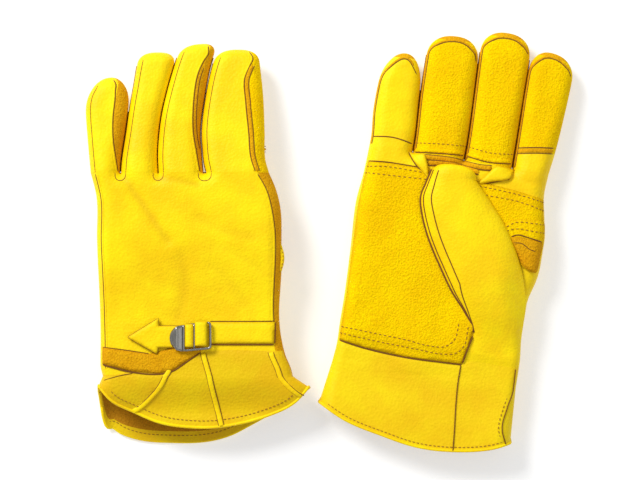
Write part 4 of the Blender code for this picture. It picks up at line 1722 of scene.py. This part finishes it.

# Folds worn into each glove: points (s, t), then the fold's width and depth in mm; the depth also sets the
# painted shade along each fold.
LEFT_FOLDS = (
    (((-43, 101), (-35, 89), (-26, 76), (-15, 60)), 4.2, 2.8),
    (((-22, 99), (-8, 98), (4, 95)), 3.0, 1.5),
    (((6, 74), (20, 67), (40, 63)), 4.6, 0.8),
    (((16, 57), (28, 52), (44, 42)), 3.4, 0.6),
    (((14, 44), (26, 33), (34, 20)), 5.0, 0.6),
    (((-6, 48), (-4, 30), (-8, 12)), 6.0, 1.1))
RIGHT_FOLDS = (
    (((-30, 110), (-10, 107), (10, 108)), 2.0, 0.5),
    (((36, 108), (46, 106), (56, 107)), 2.0, 0.5))
FOLD_STEP = 3.0

# Two points (s, t, z) at the thumb's root, kept as the thumb's blend span.
THUMB_BLEND = ((40.0, 28.0, 21.0), (22.0, 36.0, 21.0))


def left_layout() -> Layout:
    """The left glove, back upward."""
    fingers = (
        Finger("pinky", ((103, -64.3), (125, -66.5), (144, -67.9), (165, -67.0)),
               ((103, -45.6), (110, -45.2), (129, -42.6), (144, -40.6), (155, -39.4), (165, -39.8)),
               164.2, 22.0, 4.0, 2.2, PINKY_BAND),
        Finger("ring", ((103, -44.9), (110, -44.5), (129, -41.8), (144, -39.8), (161, -37.0), (177, -34.6),
                        (181, -34)),
               ((103, -21.4), (116, -21.9), (138.5, -20.0), (157.4, -15.9), (177, -10.5), (181, -9.8)),
               180.6, 9.0, 0.0, 2.6),
        Finger("middle", ((103, -20.9), (116, -21.4), (138.5, -19.4), (157.4, -15.3), (177, -9.8), (187, -6.4)),
               ((103, 7.4), (116, 6.3), (129, 5.5), (153.6, 8.4), (173.4, 12.3), (180.4, 14.8), (187, 16.6)),
               186.0, 9.0, 2.0, 2.6, MIDDLE_BAND),
        Finger("index", ((103, 9.6), (109, 8.1), (116, 7.3), (129, 6.5), (153.6, 9.3), (173.4, 13.6),
                         (184, 16.8)),
               ((103, 49.6), (112, 47.2), (129, 46.8), (153.6, 45.7), (175, 43.4), (184, 42.6)),
               182.4, 9.0, 0.0, 2.6, INDEX_BAND))
    return Layout(
        side="left", flip=True, palm_scale=0.92, seed=11.0, fingers=fingers,
        hand_left=((-30, -56.0), (-18.7, -58.3), (-2.4, -58.3), (60.3, -60.3), (87.6, -60.6), (103, -64.3)),
        hand_right=((-30, 65.5), (-21.8, 63.5), (-13.6, 60.1), (-0.4, 57.1), (11.9, 56.1), (43.6, 57.6),
                    (60.3, 57.6), (79.4, 57.1), (92.7, 54.0), (103, 49.6)),
        back_hem=((-59.3, -33.0), (-51.1, -42.2), (-37.8, -49.3), (-20.5, -56.5), (-0.1, -59.6), (20.3, -59.0),
                  (50.9, -51.4), (66.0, -43.5), (75.0, -33.8)),
        palm_hem=((-59.6, -36.7), (-58.2, -52.0), (-51.0, -61.6), (-38.3, -67.8), (-11.7, -70.6), (9.7, -69.7),
                  (23.9, -66.0), (36.3, -59.8), (60.0, -46.0), (75.2, -34.6)),
        back_top=BACK_TOP,
        palm_top=((-60, -12), (70, -12)),
        seams=(((0.37, 0.32, 0.24, 0.165), (0.56, 0.565, 0.575, 0.585), (0.93, 0.935, 0.95, 0.965)), ()))


def right_layout() -> Layout:
    """The right glove, palm upward."""
    fingers = (
        Finger("pinky", ((113, -59.0), (119.4, -58.9), (135.4, -60.3), (155.2, -60.0), (176, -58.5)),
               ((113, -31.1), (120, -31.1), (149.3, -32.6), (176, -33.4)), 175.2, 22.0, 2.0, 2.1, PINKY_BAND),
        Finger("ring", ((113, -30.6), (120, -30.6), (151.3, -32.0), (192, -32.4)),
               ((113, 2.3), (122.6, 2.6), (177.5, 1.0), (192, 0.4)), 191.4, 15.0, 2.0, 2.3),
        Finger("middle", ((113, 2.8), (122.6, 3.1), (182.6, 1.5), (199, 1.2)),
               ((113, 33.7), (123.4, 33.7), (181.2, 33.6), (199, 33.4)), 199.0, 15.0, 0.0, 2.3, MIDDLE_BAND),
        Finger("index", ((113, 34.2), (123.4, 34.2), (181.2, 34.1), (191, 34.6)),
               ((113, 57.8), (127.7, 59.8), (155.9, 62.0), (173.3, 62.9), (191, 63.2)), 190.8, 16.0, -4.0, 2.3,
               INDEX_BAND))
    return Layout(
        side="right", flip=False, palm_scale=1.0, seed=2.0, fingers=fingers, hem_inset=2.3, cuff_wear=0.16,
        hand_left=((-30, -60.0), (-15.9, -58.7), (-4.3, -59.0), (16.1, -59.1), (46.4, -60.2), (76.1, -61.6),
                   (95, -59.8), (113, -59.0)),
        hand_right=((-30, 59.6), (-7.6, 59.2), (9.3, 57.6), (27.4, 57.6), (47.1, 61.8), (56.5, 62.4),
                    (70.5, 62.4), (82.6, 60.4), (99.4, 57.3), (113, 57.8)),
        back_hem=((-62.7, -53.0), (-45.0, -60.4), (-20.8, -65.7), (3.0, -69.8), (24.7, -68.4), (48.3, -63.3),
                  (61.3, -58.7)),
        palm_hem=((-63.7, -55.0), (-45.0, -63.4), (-20.8, -68.9), (3.0, -72.6), (24.7, -71.6), (48.3, -66.6),
                  (61.8, -60.7)),
        back_top=BACK_TOP,
        palm_top=((-60, -12.6), (-40, -14.2), (-14, -15.4), (20, -14.6), (30, -10), (66, -10)),
        seams=(((0.37, 0.36, 0.33, 0.3), (0.56, 0.58, 0.62, 0.66)),
               ((0.683, 0.683, 0.69, 0.702, 0.712), (0.985, 0.985, 0.962, 0.945, 0.975))))


def hand_slot(layout: Layout) -> Callable:
    """Which side of the hide shows at each spot of the hand."""
    seam = ((-30, 54.0), (0, 53.0), (17, 52.6), (60.3, 54.0), (72.3, 53.0), (90.7, 48.8), (103, 42.4))

    def slot_of(s: float, t: float, side: Side) -> int:
        """Flesh side outside the index-side seam of the back, grain elsewhere."""
        if side is Side.BACK and layout.flip and s > float(read(seam, np.array(t))):
            return FLESH
        return GRAIN

    return slot_of


def finger_slot(finger: Finger, banded: bool, t: float, side: Side) -> int:
    """Which side of the hide shows on a finger."""
    if side is Side.BACK:
        if not banded or finger.name == "ring":
            return GRAIN
        return SUEDE if finger.name == "index" else FLESH
    if t > finger.tip_t - 3.6:
        return FLESH
    if finger.name == "pinky" or (finger.name == "index" and t < finger.root_t + 13.0):
        return GRAIN
    return SUEDE


def build_glove(layout: Layout, shop: Workshop) -> None:
    """Builds and dresses one glove.

    Args:
        layout: where it lies and how it is cut.
        shop: the finishes.
    """
    glove = Glove(layout, shop)
    knuckle = layout.knuckle
    folds = LEFT_FOLDS if layout.flip else RIGHT_FOLDS
    glove.skin.folds = [(along(points, FOLD_STEP), width, sink) for points, width, sink in folds]
    glove.build_hand(hand_slot(layout))
    for finger in layout.fingers:
        glove.build_finger(finger, finger_slot)
        low, high = finger.edges(np.array([knuckle]))
        mid = float(low[0] + high[0]) / 2
        glove.blends[finger.name] = (glove.joint_spot(mid, knuckle - 0.2, 10.0),
                                     glove.joint_spot(mid, knuckle + 12.0, 10.0))
    Cuff(glove).build()
    thumb = Thumb(glove)
    thumb.build()
    start, end = thumb.scaled(THUMB_BLEND)
    glove.blends["thumb"] = (glove.joint_spot(*start), glove.joint_spot(*end))
    WristStrap(glove).build()
    PalmTrim(glove).build()
    FingerTrim(glove).build()
    seams(glove)
    glove.finish(NODES)


def thumb_seam_end(glove: Glove) -> None:
    """The stitched end of the thumb's seam, which stands out beside the hand's inner edge."""
    shop, lay = glove.shop, glove.layout
    t = np.linspace(40.0, 57.0, 14)
    bulge = np.sin(math.pi * (t - t[0]) / (t[-1] - t[0]))
    end = np.column_stack([56.2 + 1.9 * bulge, t, 9.0 - 0.6 * bulge])
    row = lay.place(end + np.array([0.5, 0.0, -1.4]))
    glove.add("hand", tube(f"{lay.side}_thumb_seam_end", lay.place(end), 1.5, shop.grain),
              shop.stitches.sew(f"{lay.side}_thumb_seam_stitches", [row], shop.thread, *FINE_STITCH))


def root_hooks(glove: Glove, back: Drape, top: float) -> None:
    """The seams that hook round between the fingers on the back.

    Args:
        glove: the glove.
        back: lays lines on its back.
        top: how far up the hand the hooks end, in t.
    """
    shop, lay = glove.shop, glove.layout
    for left, right in zip(lay.fingers, lay.fingers[1:]):
        a = float(left.edges(np.array([top]))[1][0])
        b = float(right.edges(np.array([top]))[0][0])
        hook = [(b + 3.5, top), (b + 3.1, top - 2.4), (b + 1.2, top - 4.2), (a - 1.0, top - 4.0),
                (a - 2.4, top - 2.2), (a - 2.6, top)]
        name = f"{lay.side}_{right.name}_hook"
        glove.add("hand", back.bead(name + "_seam", hook, 0.26, 0.06, shop.groove),
                  shop.stitches.sew(name + "_stitches", [back.line(hook, 0.12, 0.8)], shop.thread, *FINE_STITCH))


def seams(glove: Glove) -> None:
    """The long side seams of the hand, the hooks between the fingers and the thumb seam's end."""
    shop, lay = glove.shop, glove.layout
    back = Drape(glove.skin, Side.BACK)
    top = lay.knuckle - 0.8
    outer = [(float(read(lay.hand_left, np.array(t))) + 3.4, t) for t in (-22.0, 0.0, 30.0, 60.0, 85.0, top)]
    if lay.flip:
        inner = [(53.3, -5), (53.0, 4), (52.6, 17), (54.0, 60.3), (53.0, 72.3), (48.8, 90.7), (42.6, top)]
        thumb_seam_end(glove)
    else:
        inner = [(float(read(lay.hand_right, np.array(t))) - 6.0, t)
                 for t in (-5.0, 20.0, 45.0, 70.0, 90.0, top)]
    root_hooks(glove, back, top)
    for name, path in (("outer", outer), ("inner", inner)):
        welt = [(s - math.copysign(0.9, s), t) for s, t in path]
        glove.add("hand", back.bead(f"{lay.side}_{name}_side_seam", path, 0.32, 0.14, shop.groove),
                  back.bead(f"{lay.side}_{name}_side_welt", welt, 0.6, 0.25, shop.grain))


def main() -> None:
    """Builds the studio and both gloves, and logs their pieces."""
    Studio().build()
    grain = Leather("grain_cowhide", Nap.GRAIN, "#F8D000", "#E0A200", "#FFE600", 0.54, 1.1, 0.34)
    suede = Leather("split_suede", Nap.SUEDE, "#F7CC00", "#DE9E00", "#FFDE00", 0.9, 0.85, 0.5)
    flesh = Leather("flesh_side", Nap.SUEDE, "#DFA10A", "#B87808", "#EAB312", 0.92, 0.9, 0.5)
    lining = Leather("inside_lining", Nap.SUEDE, "#BF8618", "#9A6412", "#CF9822", 0.95, 1.0, 0.5)
    thread = Plain("sewing_thread", "#8A5A08", "#A87414", 0.8, 0.0, 0.4)
    # Dark lines of seams and of painted shade in grooves, gaps and under raised edges.
    groove = Plain("seam_groove", "#633801", "#824F04", 0.9, 0.0, 0.8)
    metal = Plain("dark_nickel", "#6A6864", "#B4B2AC", 0.25, 1.0, 0.35)
    shop = Workshop(grain.build(), suede.build(), flesh.build(), lining.build(), thread.build(), groove.build(),
                    metal.build(), StitchTree())
    for layout in (left_layout(), right_layout()):
        build_glove(layout, shop)


if __name__ == "__main__":
    main()
